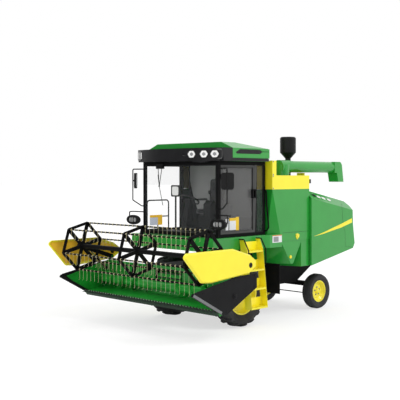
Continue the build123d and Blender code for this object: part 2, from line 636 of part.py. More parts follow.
# roof shell behind the lamp fascia
FASCIA_BACK_Y = FRONT_AXLE_Y - 450
FASCIA_BOW = 180
ROOF_T = 50
FASCIA_SIDE_Y = FRONT_AXLE_Y - 720
DRIP_Z = 3262
ROOF_RECESS_T = 14
ROOF_RECESS = (
    (FRONT_AXLE_Y - 370, 3368), (FRONT_AXLE_Y - 240, 3432), (FRONT_AXLE_Y + 330, 3428), (FRONT_AXLE_Y + 420,
                                                                                         3398),
    (FRONT_AXLE_Y + 600, 3396), (FRONT_AXLE_Y + 600, 3384), (FRONT_AXLE_Y + 420, 3382), (FRONT_AXLE_Y + 350,
                                                                                         3340),
    (FRONT_AXLE_Y - 330, 3338),
)
with BuildPart() as cab_roof:
    xz_solid(
        [
            (-ROOF_HALF, CAB_TOP_Z), (ROOF_HALF, CAB_TOP_Z), (ROOF_HALF, ROOF_SIDE_Z),
            (ROOF_HALF - 300, ROOF_CROWN_Z), (-ROOF_HALF + 300, ROOF_CROWN_Z), (-ROOF_HALF, ROOF_SIDE_Z),
        ],
        FASCIA_BACK_Y,
        ROOF_REAR_Y,
    )
    yz_solid(
        [(ROOF_REAR_Y - 700, ROOF_CROWN_Z + 1), (ROOF_REAR_Y + 1, ROOF_CROWN_Z + 1),
         (ROOF_REAR_Y + 1, ROOF_SIDE_Z - 10)],
        -ROOF_HALF, ROOF_HALF, mode=Mode.SUBTRACT,
    )
    block((-CAB_HALF + CAB_WALL, CAB_HALF - CAB_WALL), (FASCIA_BACK_Y + ROOF_T, CAB_REAR_Y - CAB_WALL),
          (CAB_TOP_Z, ROOF_SIDE_Z - ROOF_T), mode=Mode.SUBTRACT)
    for side in (-1, 1):
        # long air-inlet recess and the drip line under the side panel
        yz_solid(ROOF_RECESS, side * ROOF_HALF, side * (ROOF_HALF - ROOF_RECESS_T), mode=Mode.SUBTRACT)
        block((side * ROOF_HALF, side * (ROOF_HALF - 30)), (FASCIA_BACK_Y, ROOF_REAR_Y), (CAB_TOP_Z, DRIP_Z),
              mode=Mode.SUBTRACT)
save(cab_roof, "cab_roof")

BOW_R = (ROOF_HALF ** 2 + FASCIA_BOW ** 2) / (2 * FASCIA_BOW)
LAMP_SIZE = (92, 74)
LAMP_DEPTH = 26
LAMP_Z = 3330
ROOF_LAMPS_X = (530, 810, 1040)


def bow_y(x):
    """Front face of the lamp fascia at a given x."""
    return FASCIA_SIDE_Y - FASCIA_BOW + BOW_R - math.sqrt(BOW_R ** 2 - x ** 2)


def roof_lamp(x, proud, mode=Mode.ADD):
    """Oval lamp, or its pocket, let into the fascia square to the bow; it stands proud of the bow's face."""
    turn = math.asin(x / BOW_R)
    face = Plane(
        origin=(x, bow_y(x), LAMP_Z),
        x_dir=(math.cos(turn), math.sin(turn), 0),
        z_dir=(math.sin(turn), -math.cos(turn), 0),
    )
    with BuildSketch(face) as lens:
        Ellipse(*LAMP_SIZE)
    extrude(lens.sketch, amount=proud, mode=mode)
    extrude(lens.sketch, amount=-LAMP_DEPTH, mode=mode)


def bow_outline(proud):
    """Plan of the fascia, its front moved forwards by a small amount."""
    with BuildSketch(Plane.XY.offset(BEZEL_Z[0])) as bow:
        with BuildLine():
            Line((-ROOF_HALF, FASCIA_BACK_Y), (ROOF_HALF, FASCIA_BACK_Y))
            Line((ROOF_HALF, FASCIA_BACK_Y), (ROOF_HALF, FASCIA_SIDE_Y - proud))
            ThreePointArc(
                (ROOF_HALF, FASCIA_SIDE_Y - proud),
                (0, FASCIA_SIDE_Y - FASCIA_BOW - proud),
                (-ROOF_HALF, FASCIA_SIDE_Y - proud),
            )
            Line((-ROOF_HALF, FASCIA_SIDE_Y - proud), (-ROOF_HALF, FASCIA_BACK_Y))
        make_face()
    return bow.sketch


BEZEL_Z = (3165, 3440)
BEZEL_PROUD = 14
BEZEL_OUTLINE = (
    (250, 3330), (340, 3420), (900, 3432), (1180, 3400), (1180, 3262), (1020, 3215), (760, 3168), (560, 3185),
)
with BuildPart() as lamp_bezel:
    extrude(bow_outline(BEZEL_PROUD), amount=BEZEL_Z[1] - BEZEL_Z[0])
    xz_solid(BEZEL_OUTLINE, FASCIA_SIDE_Y - FASCIA_BOW - 2 * BEZEL_PROUD, FASCIA_BACK_Y, mode=Mode.INTERSECT)
    block((0, ROOF_HALF), (CAB_FRONT_Y - MOVE_GAP, FASCIA_BACK_Y), (BEZEL_Z[0], CAB_TOP_Z),
          mode=Mode.SUBTRACT)

with BuildPart() as roof_fascia:
    extrude(bow_outline(0), amount=ROOF_SIDE_Z - BEZEL_Z[0])
    block((-ROOF_HALF, ROOF_HALF), (FASCIA_SIDE_Y - FASCIA_BOW - 1, FASCIA_BACK_Y), (BEZEL_Z[0], CAB_TOP_Z),
          mode=Mode.SUBTRACT)
    add(lamp_bezel.part)
    # slanted cheeks at the lower front corners
    for side in (-1, 1):
        xz_solid(
            [(side * (ROOF_HALF + 1), CAB_TOP_Z - 1), (side * (ROOF_HALF + 1), CAB_TOP_Z + 90),
             (side * (ROOF_HALF - 90), CAB_TOP_Z - 1)],
            FASCIA_SIDE_Y - FASCIA_BOW,
            CAB_FRONT_Y - MOVE_GAP,
            mode=Mode.SUBTRACT,
        )
    for x in ROOF_LAMPS_X:
        roof_lamp(x, 3 * BEZEL_PROUD, mode=Mode.SUBTRACT)
save(roof_fascia, "roof_fascia")

WORK_LAMP_X = CAB_HALF + 140
WORK_LAMP_Y = FRONT_AXLE_Y - 820
WORK_LAMP_Z = 2020
WORK_LAMP_SIZE = (200, 98)
WORK_LAMP_DEPTH = 90
BRACKET_R = 12
BRACKET_Z = 2180
BRACKET_X = (CAB_HALF, CAB_HALF + 320)
BRACKET_Y = CAB_FRONT_Y + 20
TANK_LAMP = (TANK_HALF - 130, TANK_REAR_Y + 25, 2750)
with BuildPart() as lamps:
    for x in ROOF_LAMPS_X:
        roof_lamp(x, BEZEL_PROUD + 2)
    for side in (-1, 1):
        with BuildSketch(Plane.XZ.offset(-WORK_LAMP_Y)) as oval:
            with Locations((side * WORK_LAMP_X, WORK_LAMP_Z)):
                Ellipse(*WORK_LAMP_SIZE)
        extrude(oval.sketch, amount=WORK_LAMP_DEPTH * 0.4)
        with BuildSketch(Plane.XZ.offset(-WORK_LAMP_Y)) as oval_front:
            with Locations((side * WORK_LAMP_X, WORK_LAMP_Z)):
                Ellipse(*WORK_LAMP_SIZE)
        with BuildSketch(Plane.XZ.offset(-WORK_LAMP_Y - WORK_LAMP_DEPTH * 0.6)) as oval_back:
            with Locations((side * WORK_LAMP_X, WORK_LAMP_Z)):
                Ellipse(WORK_LAMP_SIZE[0] * 0.6, WORK_LAMP_SIZE[1] * 0.6)
        loft([oval_front.sketch, oval_back.sketch])
        # bracket: a tube out from the pillar with two drops to the lamp
        lamp_mid_y = WORK_LAMP_Y + WORK_LAMP_DEPTH * 0.25
        tube_path(
            [(side * BRACKET_X[0], BRACKET_Y, BRACKET_Z), (side * BRACKET_X[1], BRACKET_Y, BRACKET_Z),
             (side * BRACKET_X[1], lamp_mid_y, BRACKET_Z), (side * BRACKET_X[1], lamp_mid_y,
                                                            WORK_LAMP_Z + 10),
             (side * WORK_LAMP_X, lamp_mid_y, WORK_LAMP_Z)],
            BRACKET_R, 25)
    x, y, z = TANK_LAMP
    block((x - 60, x + 60), (TANK_REAR_Y, y + 55), (z - 75, z + 75))
save(lamps, "lamps")

MIRROR_X = CAB_HALF + 270
MIRROR_Y = FRONT_AXLE_Y - 750
MIRROR_Z = 2820
MIRROR_IN = 34         # the head hangs inboard of its tube and behind it
MIRROR_BACK = 48
MIRROR_SIZE = (240, 320)
MIRROR_T = 50
MIRROR_CLAMP_R = 14
WIPER_TOP_X = (-580, -470)
WIPER_JOINT = (-547, 2714)
WIPER_TIP = (-440, 2330)
with BuildPart() as mirrors:
    for side in (-1, 1):
        tube_path(
            [(side * CAB_HALF, MIRROR_Y + 80, 3060), (side * (CAB_HALF + 80), MIRROR_Y + 80, 3060),
             (side * MIRROR_X, MIRROR_Y, 3060), (side * MIRROR_X, MIRROR_Y, 2420),
             (side * (CAB_HALF + 80), MIRROR_Y + 80, 2300), (side * CAB_HALF, MIRROR_Y + 80, 2300)],
            12, 30)
        centre = (side * (MIRROR_X - MIRROR_IN), MIRROR_Y + MIRROR_BACK, MIRROR_Z)
        head = Plane(origin=centre, x_dir=(1, side, 0), z_dir=(side, -1, 0))
        with BuildSketch(head) as mirror_outline:
            RectangleRounded(*MIRROR_SIZE, 50)
        extrude(mirror_outline.sketch, amount=MIRROR_T / 2, both=True)
        rod((side * MIRROR_X, MIRROR_Y, MIRROR_Z), centre, MIRROR_CLAMP_R)
    # wiper: motor box, two links and the blade
    wiper_y = CAB_FRONT_Y - 25
    block((-620, -420), (CAB_FRONT_Y - 50, CAB_FRONT_Y), (3060, WINDOW_TOP_Z + 30))
    for top_x in WIPER_TOP_X:
        rod((top_x, wiper_y, 3070), (WIPER_JOINT[0], wiper_y, WIPER_JOINT[1]), 7)
    rod((WIPER_JOINT[0], wiper_y, WIPER_JOINT[1] - 14), (WIPER_JOINT[0], wiper_y, WIPER_JOINT[1] + 14), 16)
    rod((WIPER_JOINT[0] - 40, wiper_y, WIPER_JOINT[1] + 230), (WIPER_JOINT[0], wiper_y, WIPER_JOINT[1]), 6)
    rod((WIPER_JOINT[0], wiper_y, WIPER_JOINT[1]), (WIPER_TIP[0], wiper_y, WIPER_TIP[1]), 6)
save(mirrors, "mirrors")

SEAT_Y = (FRONT_AXLE_Y - 60, FRONT_AXLE_Y + 400)
SEAT_TOP_Z = 2260
FLOOR_Z = DECK_TOP_Z + 40
with BuildPart() as seat:
    block((-230, 230), SEAT_Y, (SEAT_TOP_Z - 120, SEAT_TOP_Z))
    fillet(seat.edges().filter_by(Axis.X), radius=35)
    yz_solid(
        [(SEAT_Y[1] - 90, SEAT_TOP_Z - 60), (SEAT_Y[1] - 50, SEAT_TOP_Z + 620),
         (SEAT_Y[1] + 40, SEAT_TOP_Z + 620),
         (SEAT_Y[1] + 40, SEAT_TOP_Z - 60)],
        -215, 215)
    for side in (-1, 1):
        block((side * 235, side * 290), (SEAT_Y[0] + 120, SEAT_Y[1] - 20),
              (SEAT_TOP_Z + 150, SEAT_TOP_Z + 200))
        block((side * 200, side * 260), (SEAT_Y[1] - 90, SEAT_Y[1] - 30),
              (SEAT_TOP_Z + 100, SEAT_TOP_Z + 190))
    block((-150, 150), (SEAT_Y[0] + 60, SEAT_Y[1] - 40), (FLOOR_Z, SEAT_TOP_Z - 119))
save(seat, "operator_seat")

WHEEL_CENTRE = (0, FRONT_AXLE_Y - 400, 2440)
WHEEL_R = 200
CONSOLE_X = (310, 500)
with BuildPart() as console:
    # steering column with its foot box, and the ring of the steering wheel
    yz_solid(
        [(FRONT_AXLE_Y - 600, FLOOR_Z), (FRONT_AXLE_Y - 440, FLOOR_Z), (FRONT_AXLE_Y - 370, 2400),
         (FRONT_AXLE_Y - 460, 2420)],
        -60, 60)
    wheel_tilt = Plane(origin=WHEEL_CENTRE, x_dir=(1, 0, 0), z_dir=(0, 0.5, 0.866))
    with BuildSketch(wheel_tilt) as wheel_ring:
        Circle(WHEEL_R)
        Circle(WHEEL_R - 26, mode=Mode.SUBTRACT)
        Rectangle(2 * WHEEL_R - 20, 30)
    extrude(wheel_ring.sketch, amount=24)
    rod((0, FRONT_AXLE_Y - 440, 2370), (0, FRONT_AXLE_Y - 392, 2455), 32)
    # side console with its sloping panel, and the hydrostat lever
    yz_solid(
        [(FRONT_AXLE_Y - 330, FLOOR_Z), (FRONT_AXLE_Y - 330, 2360), (FRONT_AXLE_Y - 250, 2430),
         (FRONT_AXLE_Y + 300, 2330), (FRONT_AXLE_Y + 300, FLOOR_Z)],
        *CONSOLE_X)
    rod((CONSOLE_X[0] + 60, FRONT_AXLE_Y - 150, 2380), (CONSOLE_X[0] + 50, FRONT_AXLE_Y - 200, 2580), 12)
    rod((CONSOLE_X[0] + 50, FRONT_AXLE_Y - 200, 2560), (CONSOLE_X[0] + 48, FRONT_AXLE_Y - 208, 2630), 26)
    # monitor on a stalk at the right of the column
    rod((-240, FRONT_AXLE_Y - 560, FLOOR_Z), (-240, FRONT_AXLE_Y - 560, 2560), 18)
    screen = Plane(origin=(-240, FRONT_AXLE_Y - 560, 2620), x_dir=(0.94, 0.34, 0), z_dir=(-0.34, 0.94, 0))
    with BuildSketch(screen) as screen_outline:
        RectangleRounded(190, 230, 24)
    extrude(screen_outline.sketch, amount=20, both=True)
save(console, "steering_console")

# ---------------------------------------------------------------- grain tank
TANK_SKIRT_Z = SEP_TOP_Z
RISER_R = 150
CRADLE_Y = TANK_REAR_Y - SHEET
CRADLE_T = 10
CRADLE_HALF = 100
CRADLE_SEAT_Z = UNLOAD_Z - UNLOAD_R - MOVE_GAP
SLOPE_TOP_Z = 2000
TROUGH_HALF = 150
FACET_TOP_Z = TANK_TOP_Z
FACET_Y = 290          # run of the corner facet along the side, at its foot
FACET_X = 160          # run of the corner facet across the front, at its foot
inner_x = TANK_HALF - SHEET
inner_y = (TANK_FRONT_Y + SHEET, TANK_REAR_Y - SHEET)


def corner_facet(side, inset):
    """Wedge that slices a front corner off, from a point at the top to a wide foot."""
    with BuildSketch(Plane.XY.offset(FACET_TOP_Z)) as tip:
        Polygon(
            (side * (TANK_HALF + 2), TANK_FRONT_Y - 2),
            (side * (TANK_HALF + 2), TANK_FRONT_Y + 2 + inset),
            (side * (TANK_HALF - 2 - inset), TANK_FRONT_Y - 2),
        )
    with BuildSketch(Plane.XY.offset(TANK_SKIRT_Z)) as foot:
        Polygon(
            (side * (TANK_HALF + 2), TANK_FRONT_Y - 2),
            (side * (TANK_HALF + 2), TANK_FRONT_Y + FACET_Y + inset),
            (side * (TANK_HALF - FACET_X - inset), TANK_FRONT_Y - 2),
        )
    loft([tip.sketch, foot.sketch], mode=Mode.SUBTRACT)


with BuildPart() as tank_cavity:
    xz_solid(
        [
            (-inner_x, TANK_TOP_Z), (-inner_x, SLOPE_TOP_Z), (-TROUGH_HALF, TANK_SKIRT_Z + SHEET),
            (TROUGH_HALF, TANK_SKIRT_Z + SHEET), (inner_x, SLOPE_TOP_Z), (inner_x, TANK_TOP_Z),
        ],
        *inner_y,
    )
    for side in (-1, 1):
        xz_solid(
            [(side * inner_x, TANK_SKIRT_Z), (side * (TROUGH_HALF + 60), TANK_SKIRT_Z),
             (side * inner_x, SLOPE_TOP_Z - 30)],
            *inner_y,
        )
        corner_facet(side, 2 * SHEET)

CORNER_BOX_Y = (BEAM_REAR_Y + MOVE_GAP, TANK_FRONT_Y + FACET_Y)
CORNER_BOX_X = TANK_HALF - FACET_X - 40
CAP_Y = FRONT_AXLE_Y + 1500
CAP_Z = 1685
CAP_R = 50
with BuildPart() as grain_tank:
    block((-TANK_HALF, TANK_HALF), (TANK_FRONT_Y, TANK_REAR_Y), (TANK_SKIRT_Z, TANK_TOP_Z))
    for side in (-1, 1):
        corner_facet(side, 0)
    add(tank_cavity.part, mode=Mode.SUBTRACT)
    for side in (-1, 1):
        # box that carries the side beam on under the corner facet
        block((side * CORNER_BOX_X, side * (TANK_HALF + 1)), CORNER_BOX_Y, (TANK_SKIRT_Z, DECK_TOP_Z))
        # sampling cap in the lower band
        rod((side * (TANK_HALF - 1), CAP_Y, CAP_Z), (side * (TANK_HALF + 14), CAP_Y, CAP_Z), CAP_R)
        rod((side * TANK_HALF, CAP_Y, CAP_Z), (side * (TANK_HALF + 22), CAP_Y, CAP_Z), CAP_R * 0.55)
save(grain_tank, "grain_tank")

with BuildPart() as extension:
    block((-TANK_HALF, TANK_HALF), (TANK_FRONT_Y, TANK_REAR_Y), (TANK_TOP_Z, EXTENSION_TOP_Z))
    block((-inner_x, inner_x), (TANK_FRONT_Y + FRONT_BOX_DEPTH, TANK_REAR_Y - SHEET),
          (TANK_TOP_Z, EXTENSION_TOP_Z), mode=Mode.SUBTRACT)
    block((-TANK_HALF, TANK_HALF), (TANK_FRONT_Y, TANK_FRONT_Y + FRONT_BOX_DEPTH),
          (EXTENSION_TOP_Z, FRONT_BOX_TOP_Z))
    # flat cradle that the unloading tube rests over
    xz_solid(
        [
            (UNLOAD_X - CRADLE_HALF, EXTENSION_TOP_Z - 60), (UNLOAD_X + CRADLE_HALF, EXTENSION_TOP_Z - 60),
            (UNLOAD_X + CRADLE_HALF, CRADLE_SEAT_Z), (UNLOAD_X - CRADLE_HALF, CRADLE_SEAT_Z),
        ],
        CRADLE_Y,
        CRADLE_Y + CRADLE_T,
    )
    rod((UNLOAD_X, UNLOAD_Y, TANK_TOP_Z), (UNLOAD_X, UNLOAD_Y, EXTENSION_TOP_Z + 1), RISER_R,
        mode=Mode.SUBTRACT)
save(extension, "tank_extension")

# faceted hoppers under the tank's edges, and the panels that close the hood's front
HOPPER_TIP_Z = 1130
HOPPER_TOP_Y = (FRONT_AXLE_Y + 985, FRONT_AXLE_Y + 1661)
HOPPER_TIP_Y = (FRONT_AXLE_Y + 1300, FRONT_AXLE_Y + 1372)
CHEEK_Z = 1050
CHEEK_Y = (FRONT_AXLE_Y + 1400, FRONT_AXLE_Y + 1640)
with BuildPart() as side_hoppers:
    for side in (-1, 1):
        outer = side * (TANK_HALF - 8)
        with BuildSketch(Plane.XY.offset(TANK_SKIRT_Z)) as hopper_top:
            Polygon(
                (side * SEP_HALF, TANK_FRONT_Y + 20), (outer, HOPPER_TOP_Y[0]),
                (outer, HOPPER_TOP_Y[1]), (side * SEP_HALF, TANK_REAR_Y),
            )
        with BuildSketch(Plane.XY.offset(HOPPER_TIP_Z)) as hopper_tip:
            Polygon(
                (side * SEP_HALF, TANK_FRONT_Y + 150), (outer, HOPPER_TIP_Y[0]),
                (outer, HOPPER_TIP_Y[1]), (side * SEP_HALF, CHEEK_Y[0]),
            )
        loft([hopper_top.sketch, hopper_tip.sketch])
        xy_solid(
            [
                (side * SEP_HALF, CHEEK_Y[0]), (outer, CHEEK_Y[1]),
                (outer, TANK_REAR_Y - 1), (side * SEP_HALF, TANK_REAR_Y - 1),
            ],
            CHEEK_Z,
            TANK_SKIRT_Z,
        )
        # drain knob at the tip
        rod((outer, HOPPER_TIP_Y[0] - 20, 1270), (outer + side * 16, HOPPER_TIP_Y[0] - 20, 1270), 32)
save(side_hoppers, "side_hoppers")

FLAP_X = (SEP_HALF + MOVE_GAP, 1205)
FLAP_Y = FRONT_AXLE_Y + 940
FLAP_Z = (550, 1150)
FLAP_T = 12
with BuildPart() as mud_flaps:
    for side in (-1, 1):
        block((side * FLAP_X[0], side * FLAP_X[1]), (FLAP_Y, FLAP_Y + FLAP_T), FLAP_Z)
    # the hopper's flank closes against the flap's top
    add(side_hoppers.part, mode=Mode.SUBTRACT)
save(mud_flaps, "mud_flaps")

# ---------------------------------------------------------------- rear hood, engine, pre-cleaner
HOOD_PROFILE = (
    (TANK_REAR_Y, 2625),
    (HOOD_REAR_Y - 175, 2355),
    (HOOD_REAR_Y - 80, 2255),
    (HOOD_REAR_Y - 66, 1850),
    (HOOD_REAR_Y, 1430),
    (HOOD_REAR_Y - 65, 1322),
    (TANK_REAR_Y, 1050),
)
HOOD_SHOULDER = 170
REAR_LAMP_X = (HOOD_HALF - 150, HOOD_HALF - 50)
REAR_LAMP_Z = (1470, 1680)
REAR_LAMP_T = 10
FLANGE_Z = (1052, 2450)
STRAW_DOOR_Z = (1480, 1780)
with BuildPart() as hood:
    yz_solid(HOOD_PROFILE, -HOOD_HALF, HOOD_HALF)
    top_sheet = hood.faces().sort_by(Axis.Z)[-1]
    chamfer(top_sheet.edges().filter_by(lambda edge: abs(edge.tangent_at(0).X) < 0.1), length=HOOD_SHOULDER)
    open_faces = [
        hood.faces().sort_by(Axis.Y)[0],
        hood.faces().sort_by(Axis.Z)[0],
    ]
    offset(amount=-SHEET, openings=open_faces)
    # flanges that close the hood's front against the tank's sides
    for side in (-1, 1):
        block((side * (TANK_HALF + 1), side * HOOD_HALF), (TANK_REAR_Y, TANK_REAR_Y + SHEET), FLANGE_Z)
    # straw door in the back sheet, slightly proud
    block((-HOOD_HALF + 190, HOOD_HALF - 190), (HOOD_REAR_Y - 60, HOOD_REAR_Y - 12), STRAW_DOOR_Z)
save(hood, "rear_hood")


def hood_back_y(z):
    """Station of the hood's back sheet at a height."""
    (y0, z0), (y1, z1) = HOOD_PROFILE[3], HOOD_PROFILE[4]
    return y0 + (y1 - y0) * (z - z0) / (z1 - z0)


with BuildPart() as rear_lamps:
    for side in (-1, 1):
        yz_solid(
            [
                (hood_back_y(REAR_LAMP_Z[0]) - 6, REAR_LAMP_Z[0]),
                (hood_back_y(REAR_LAMP_Z[0]) + REAR_LAMP_T, REAR_LAMP_Z[0]),
                (hood_back_y(REAR_LAMP_Z[1]) + REAR_LAMP_T, REAR_LAMP_Z[1]),
                (hood_back_y(REAR_LAMP_Z[1]) - 6, REAR_LAMP_Z[1]),
            ],
            side * REAR_LAMP_X[0],
            side * REAR_LAMP_X[1],
        )
    add(hood.part, mode=Mode.SUBTRACT)
save(rear_lamps, "rear_lamps")

with BuildPart() as engine:
    block((-420, 420), (TANK_REAR_Y + 60, TANK_REAR_Y + 760), (SEP_TOP_Z, SEP_TOP_Z + 700))
save(engine, "engine")

CLEANER_Y = FRONT_AXLE_Y + 2100
CLEANER_X = 500
CLEANER_R = 172
CLEANER_NECK_R = 60
CLEANER_NECK_Z = 3300
CLEANER_BOWL_Z = 3425
CLEANER_CAP_Z = 3740
CLEANER_TOP_Z = 3765


def hood_top_z(y):
    """Height of the hood's top sheet at a station."""
    (y0, z0), (y1, z1) = HOOD_PROFILE[0], HOOD_PROFILE[1]
    return z0 + (z1 - z0) * (y - y0) / (y1 - y0)


with BuildPart() as precleaner:
    stack_z = hood_top_z(CLEANER_Y)
    with BuildSketch(Plane(origin=(CLEANER_X, CLEANER_Y, 0), x_dir=(1, 0, 0),
                           z_dir=(0, -1, 0))) as cleaner_section:
        Polygon((0, CLEANER_NECK_Z), (CLEANER_NECK_R, CLEANER_NECK_Z), (CLEANER_R, CLEANER_BOWL_Z),
                (CLEANER_R, CLEANER_CAP_Z), (CLEANER_R - 25, CLEANER_TOP_Z),
                (0, CLEANER_TOP_Z))
    revolve(cleaner_section.sketch, axis=Axis((CLEANER_X, CLEANER_Y, 0), (0, 0, 1)))
    rod((CLEANER_X, CLEANER_Y, stack_z - 50), (CLEANER_X, CLEANER_Y, CLEANER_NECK_Z + 1), CLEANER_NECK_R)
    yz_solid(
        [HOOD_PROFILE[0], HOOD_PROFILE[1], (HOOD_PROFILE[1][0], 2000), (HOOD_PROFILE[0][0], 2000)],
        CLEANER_X - CLEANER_R, CLEANER_X + CLEANER_R, mode=Mode.SUBTRACT,
    )
save(precleaner, "air_precleaner")

# ---------------------------------------------------------------- unloading auger
SPOUT_HALF = UNLOAD_R + 4
SPOUT_WALL = 10
SPOUT_PROFILE = (
    (SPOUT_Y - 230, UNLOAD_Z + UNLOAD_R),
    (SPOUT_Y - 20, UNLOAD_Z + UNLOAD_R),
    (SPOUT_Y + 40, UNLOAD_Z + UNLOAD_R - 60),
    (SPOUT_Y + 100, SPOUT_BOTTOM_Z),
    (SPOUT_Y - 100, SPOUT_BOTTOM_Z),
    (SPOUT_Y - 150, UNLOAD_Z - UNLOAD_R),
    (SPOUT_Y - 230, UNLOAD_Z - UNLOAD_R),
)
SPOUT_HOLLOW = (
    (SPOUT_Y + 20, UNLOAD_Z - UNLOAD_R + 40),
    (SPOUT_Y + 100 - SPOUT_WALL, SPOUT_BOTTOM_Z - 1),
    (SPOUT_Y - 100 + SPOUT_WALL, SPOUT_BOTTOM_Z - 1),
    (SPOUT_Y - 120, UNLOAD_Z - UNLOAD_R + 40),
)
with BuildPart() as riser:
    rod((UNLOAD_X, UNLOAD_Y, TANK_SKIRT_Z), (UNLOAD_X, UNLOAD_Y, EXTENSION_TOP_Z), RISER_R)
    # its foot stands on the tank's sloping floor
    xz_solid(
        [(TROUGH_HALF, TANK_SKIRT_Z - 1), (inner_x, TANK_SKIRT_Z - 1), (inner_x, SLOPE_TOP_Z),
         (TROUGH_HALF, TANK_SKIRT_Z + SHEET)],
        UNLOAD_Y - RISER_R - 1, UNLOAD_Y + RISER_R + 1, mode=Mode.SUBTRACT,
    )
save(riser, "unloading_riser")

with BuildPart() as unloading_tube:
    rod((UNLOAD_X, UNLOAD_Y, EXTENSION_TOP_Z + RUN_GAP), (UNLOAD_X, UNLOAD_Y, UNLOAD_Z + 40), RISER_R)
    rod((UNLOAD_X, UNLOAD_Y - UNLOAD_R, UNLOAD_Z), (UNLOAD_X, UNLOAD_Y + 230, UNLOAD_Z), UNLOAD_R + 14)
    rod((UNLOAD_X, UNLOAD_Y + 229, UNLOAD_Z), (UNLOAD_X, SPOUT_Y - 60, UNLOAD_Z), UNLOAD_R)
    # hood of the spout: slanted back, open at the bottom
    yz_solid(SPOUT_PROFILE, UNLOAD_X - SPOUT_HALF, UNLOAD_X + SPOUT_HALF)
    yz_solid(SPOUT_HOLLOW, UNLOAD_X - SPOUT_HALF + SPOUT_WALL, UNLOAD_X + SPOUT_HALF - SPOUT_WALL,
             mode=Mode.SUBTRACT)
save(unloading_tube, "unloading_tube")

# ---------------------------------------------------------------- feeder house
FEEDER_HALF = 400
FEEDER_DRUM_R = 130
FEEDER_FRONT_Y = AUGER_Y + TROUGH_R + HEADER_SHEET
FEEDER_TOP_Z = 1190
FEEDER_BOTTOM_Z = 650
FEEDER_WALL = 15
LIFT_EYE = (FRONT_AXLE_Y - 760, 638)
LIFT_BARREL_R = 36
LIFT_ROD_R = 20
EYE_R = 30
NECK_R = 13
NECK_LEN = 42
FEEDER_PROFILE = (
    (FEEDER_FRONT_Y, FEEDER_BOTTOM_Z),
    (FEEDER_FRONT_Y, FEEDER_TOP_Z),
    (FEEDER_PIVOT_Y, FEEDER_PIVOT_Z + FEEDER_DRUM_R),
    (FEEDER_PIVOT_Y, FEEDER_PIVOT_Z - FEEDER_DRUM_R),
)


def feeder_bottom_z(y):
    """Height of the feeder's underside at a station."""
    (y0, z0), (y1, z1) = FEEDER_PROFILE[0], FEEDER_PROFILE[3]
    return z0 + (z1 - z0) * (y - y0) / (y1 - y0)


with BuildPart() as feeder:
    yz_solid(FEEDER_PROFILE, -FEEDER_HALF, FEEDER_HALF)
    rod((-FEEDER_HALF, FEEDER_PIVOT_Y, FEEDER_PIVOT_Z), (FEEDER_HALF, FEEDER_PIVOT_Y, FEEDER_PIVOT_Z),
        FEEDER_DRUM_R)
    yz_solid(
        [
            (FEEDER_FRONT_Y - 1, FEEDER_BOTTOM_Z + FEEDER_WALL),
            (FEEDER_FRONT_Y - 1, FEEDER_TOP_Z - FEEDER_WALL),
            (FEEDER_PIVOT_Y - FEEDER_DRUM_R, FEEDER_PIVOT_Z + FEEDER_DRUM_R - FEEDER_WALL),
            (FEEDER_PIVOT_Y - FEEDER_DRUM_R, FEEDER_PIVOT_Z - FEEDER_DRUM_R + FEEDER_WALL),
        ],
        -FEEDER_HALF + FEEDER_WALL,
        FEEDER_HALF - FEEDER_WALL,
        mode=Mode.SUBTRACT,
    )
    for side in (-1, 1):
        # trunnion bore and the lift cylinder's lugs
        rod((side * (FEEDER_HALF - 60), FEEDER_PIVOT_Y, FEEDER_PIVOT_Z),
            (side * (FEEDER_HALF + 1), FEEDER_PIVOT_Y, FEEDER_PIVOT_Z),
            TRUNNION_R + RUN_GAP, mode=Mode.SUBTRACT)
        for offset_x in (-EYE_HALF - 1 - LUG_T, EYE_HALF + 1):
            lug_x = side * LIFT_X + offset_x
            yz_solid(
                [
                    (LIFT_EYE[0] - 60, feeder_bottom_z(LIFT_EYE[0] - 60)),
                    (LIFT_EYE[0] + 60, feeder_bottom_z(LIFT_EYE[0] + 60)),
                    (LIFT_EYE[0] + 28, LIFT_EYE[1] - 28),
                    (LIFT_EYE[0] - 28, LIFT_EYE[1] - 28),
                ],
                lug_x,
                lug_x + LUG_T,
            )
        rod((side * LIFT_X - EYE_HALF - 2, *LIFT_EYE), (side * LIFT_X + EYE_HALF + 2, *LIFT_EYE), LIFT_PIN_R)
save(feeder, "feeder_house")


# share of the closed length that is barrel, and where its bore starts
BARREL_SHARE = 0.62
ROD_START = 60
REEL_BARREL_R = 22
REEL_ROD_R = 12
BORE_OF = {LIFT_BARREL_R: LIFT_ROD_R, REEL_BARREL_R: REEL_ROD_R}
# play of a rod's eye on its pin
EYE_PLAY = {LIFT_BARREL_R: 10, REEL_BARREL_R: 1.5}
# how far a rod stands off the bottom of its bore, which is the stroke it can close by
ROD_REACH = {LIFT_BARREL_R: 200, REEL_BARREL_R: 60}


def cylinder_barrel(centres_x, base, eye, radius, pin_r):
    """Barrels with a base eye each, lying along the line from base to eye."""
    run = Vector(0, eye[0] - base[0], eye[1] - base[1])
    along = run.normalized()
    for x in centres_x:
        start = Vector(x, *base) + along * NECK_LEN
        end = Vector(x, *base) + along * (run.length * BARREL_SHARE)
        rod(tuple(start), tuple(end), radius)
        rod((x, *base), tuple(start), NECK_R)
        rod((x - EYE_HALF, *base), (x + EYE_HALF, *base), EYE_R)
        rod((x - EYE_HALF - 1, *base), (x + EYE_HALF + 1, *base), pin_r + RUN_GAP, mode=Mode.SUBTRACT)
        mouth = Vector(x, *base) + along * ROD_START
        rod(tuple(mouth), tuple(end + along), BORE_OF[radius] + RUN_GAP, mode=Mode.SUBTRACT)


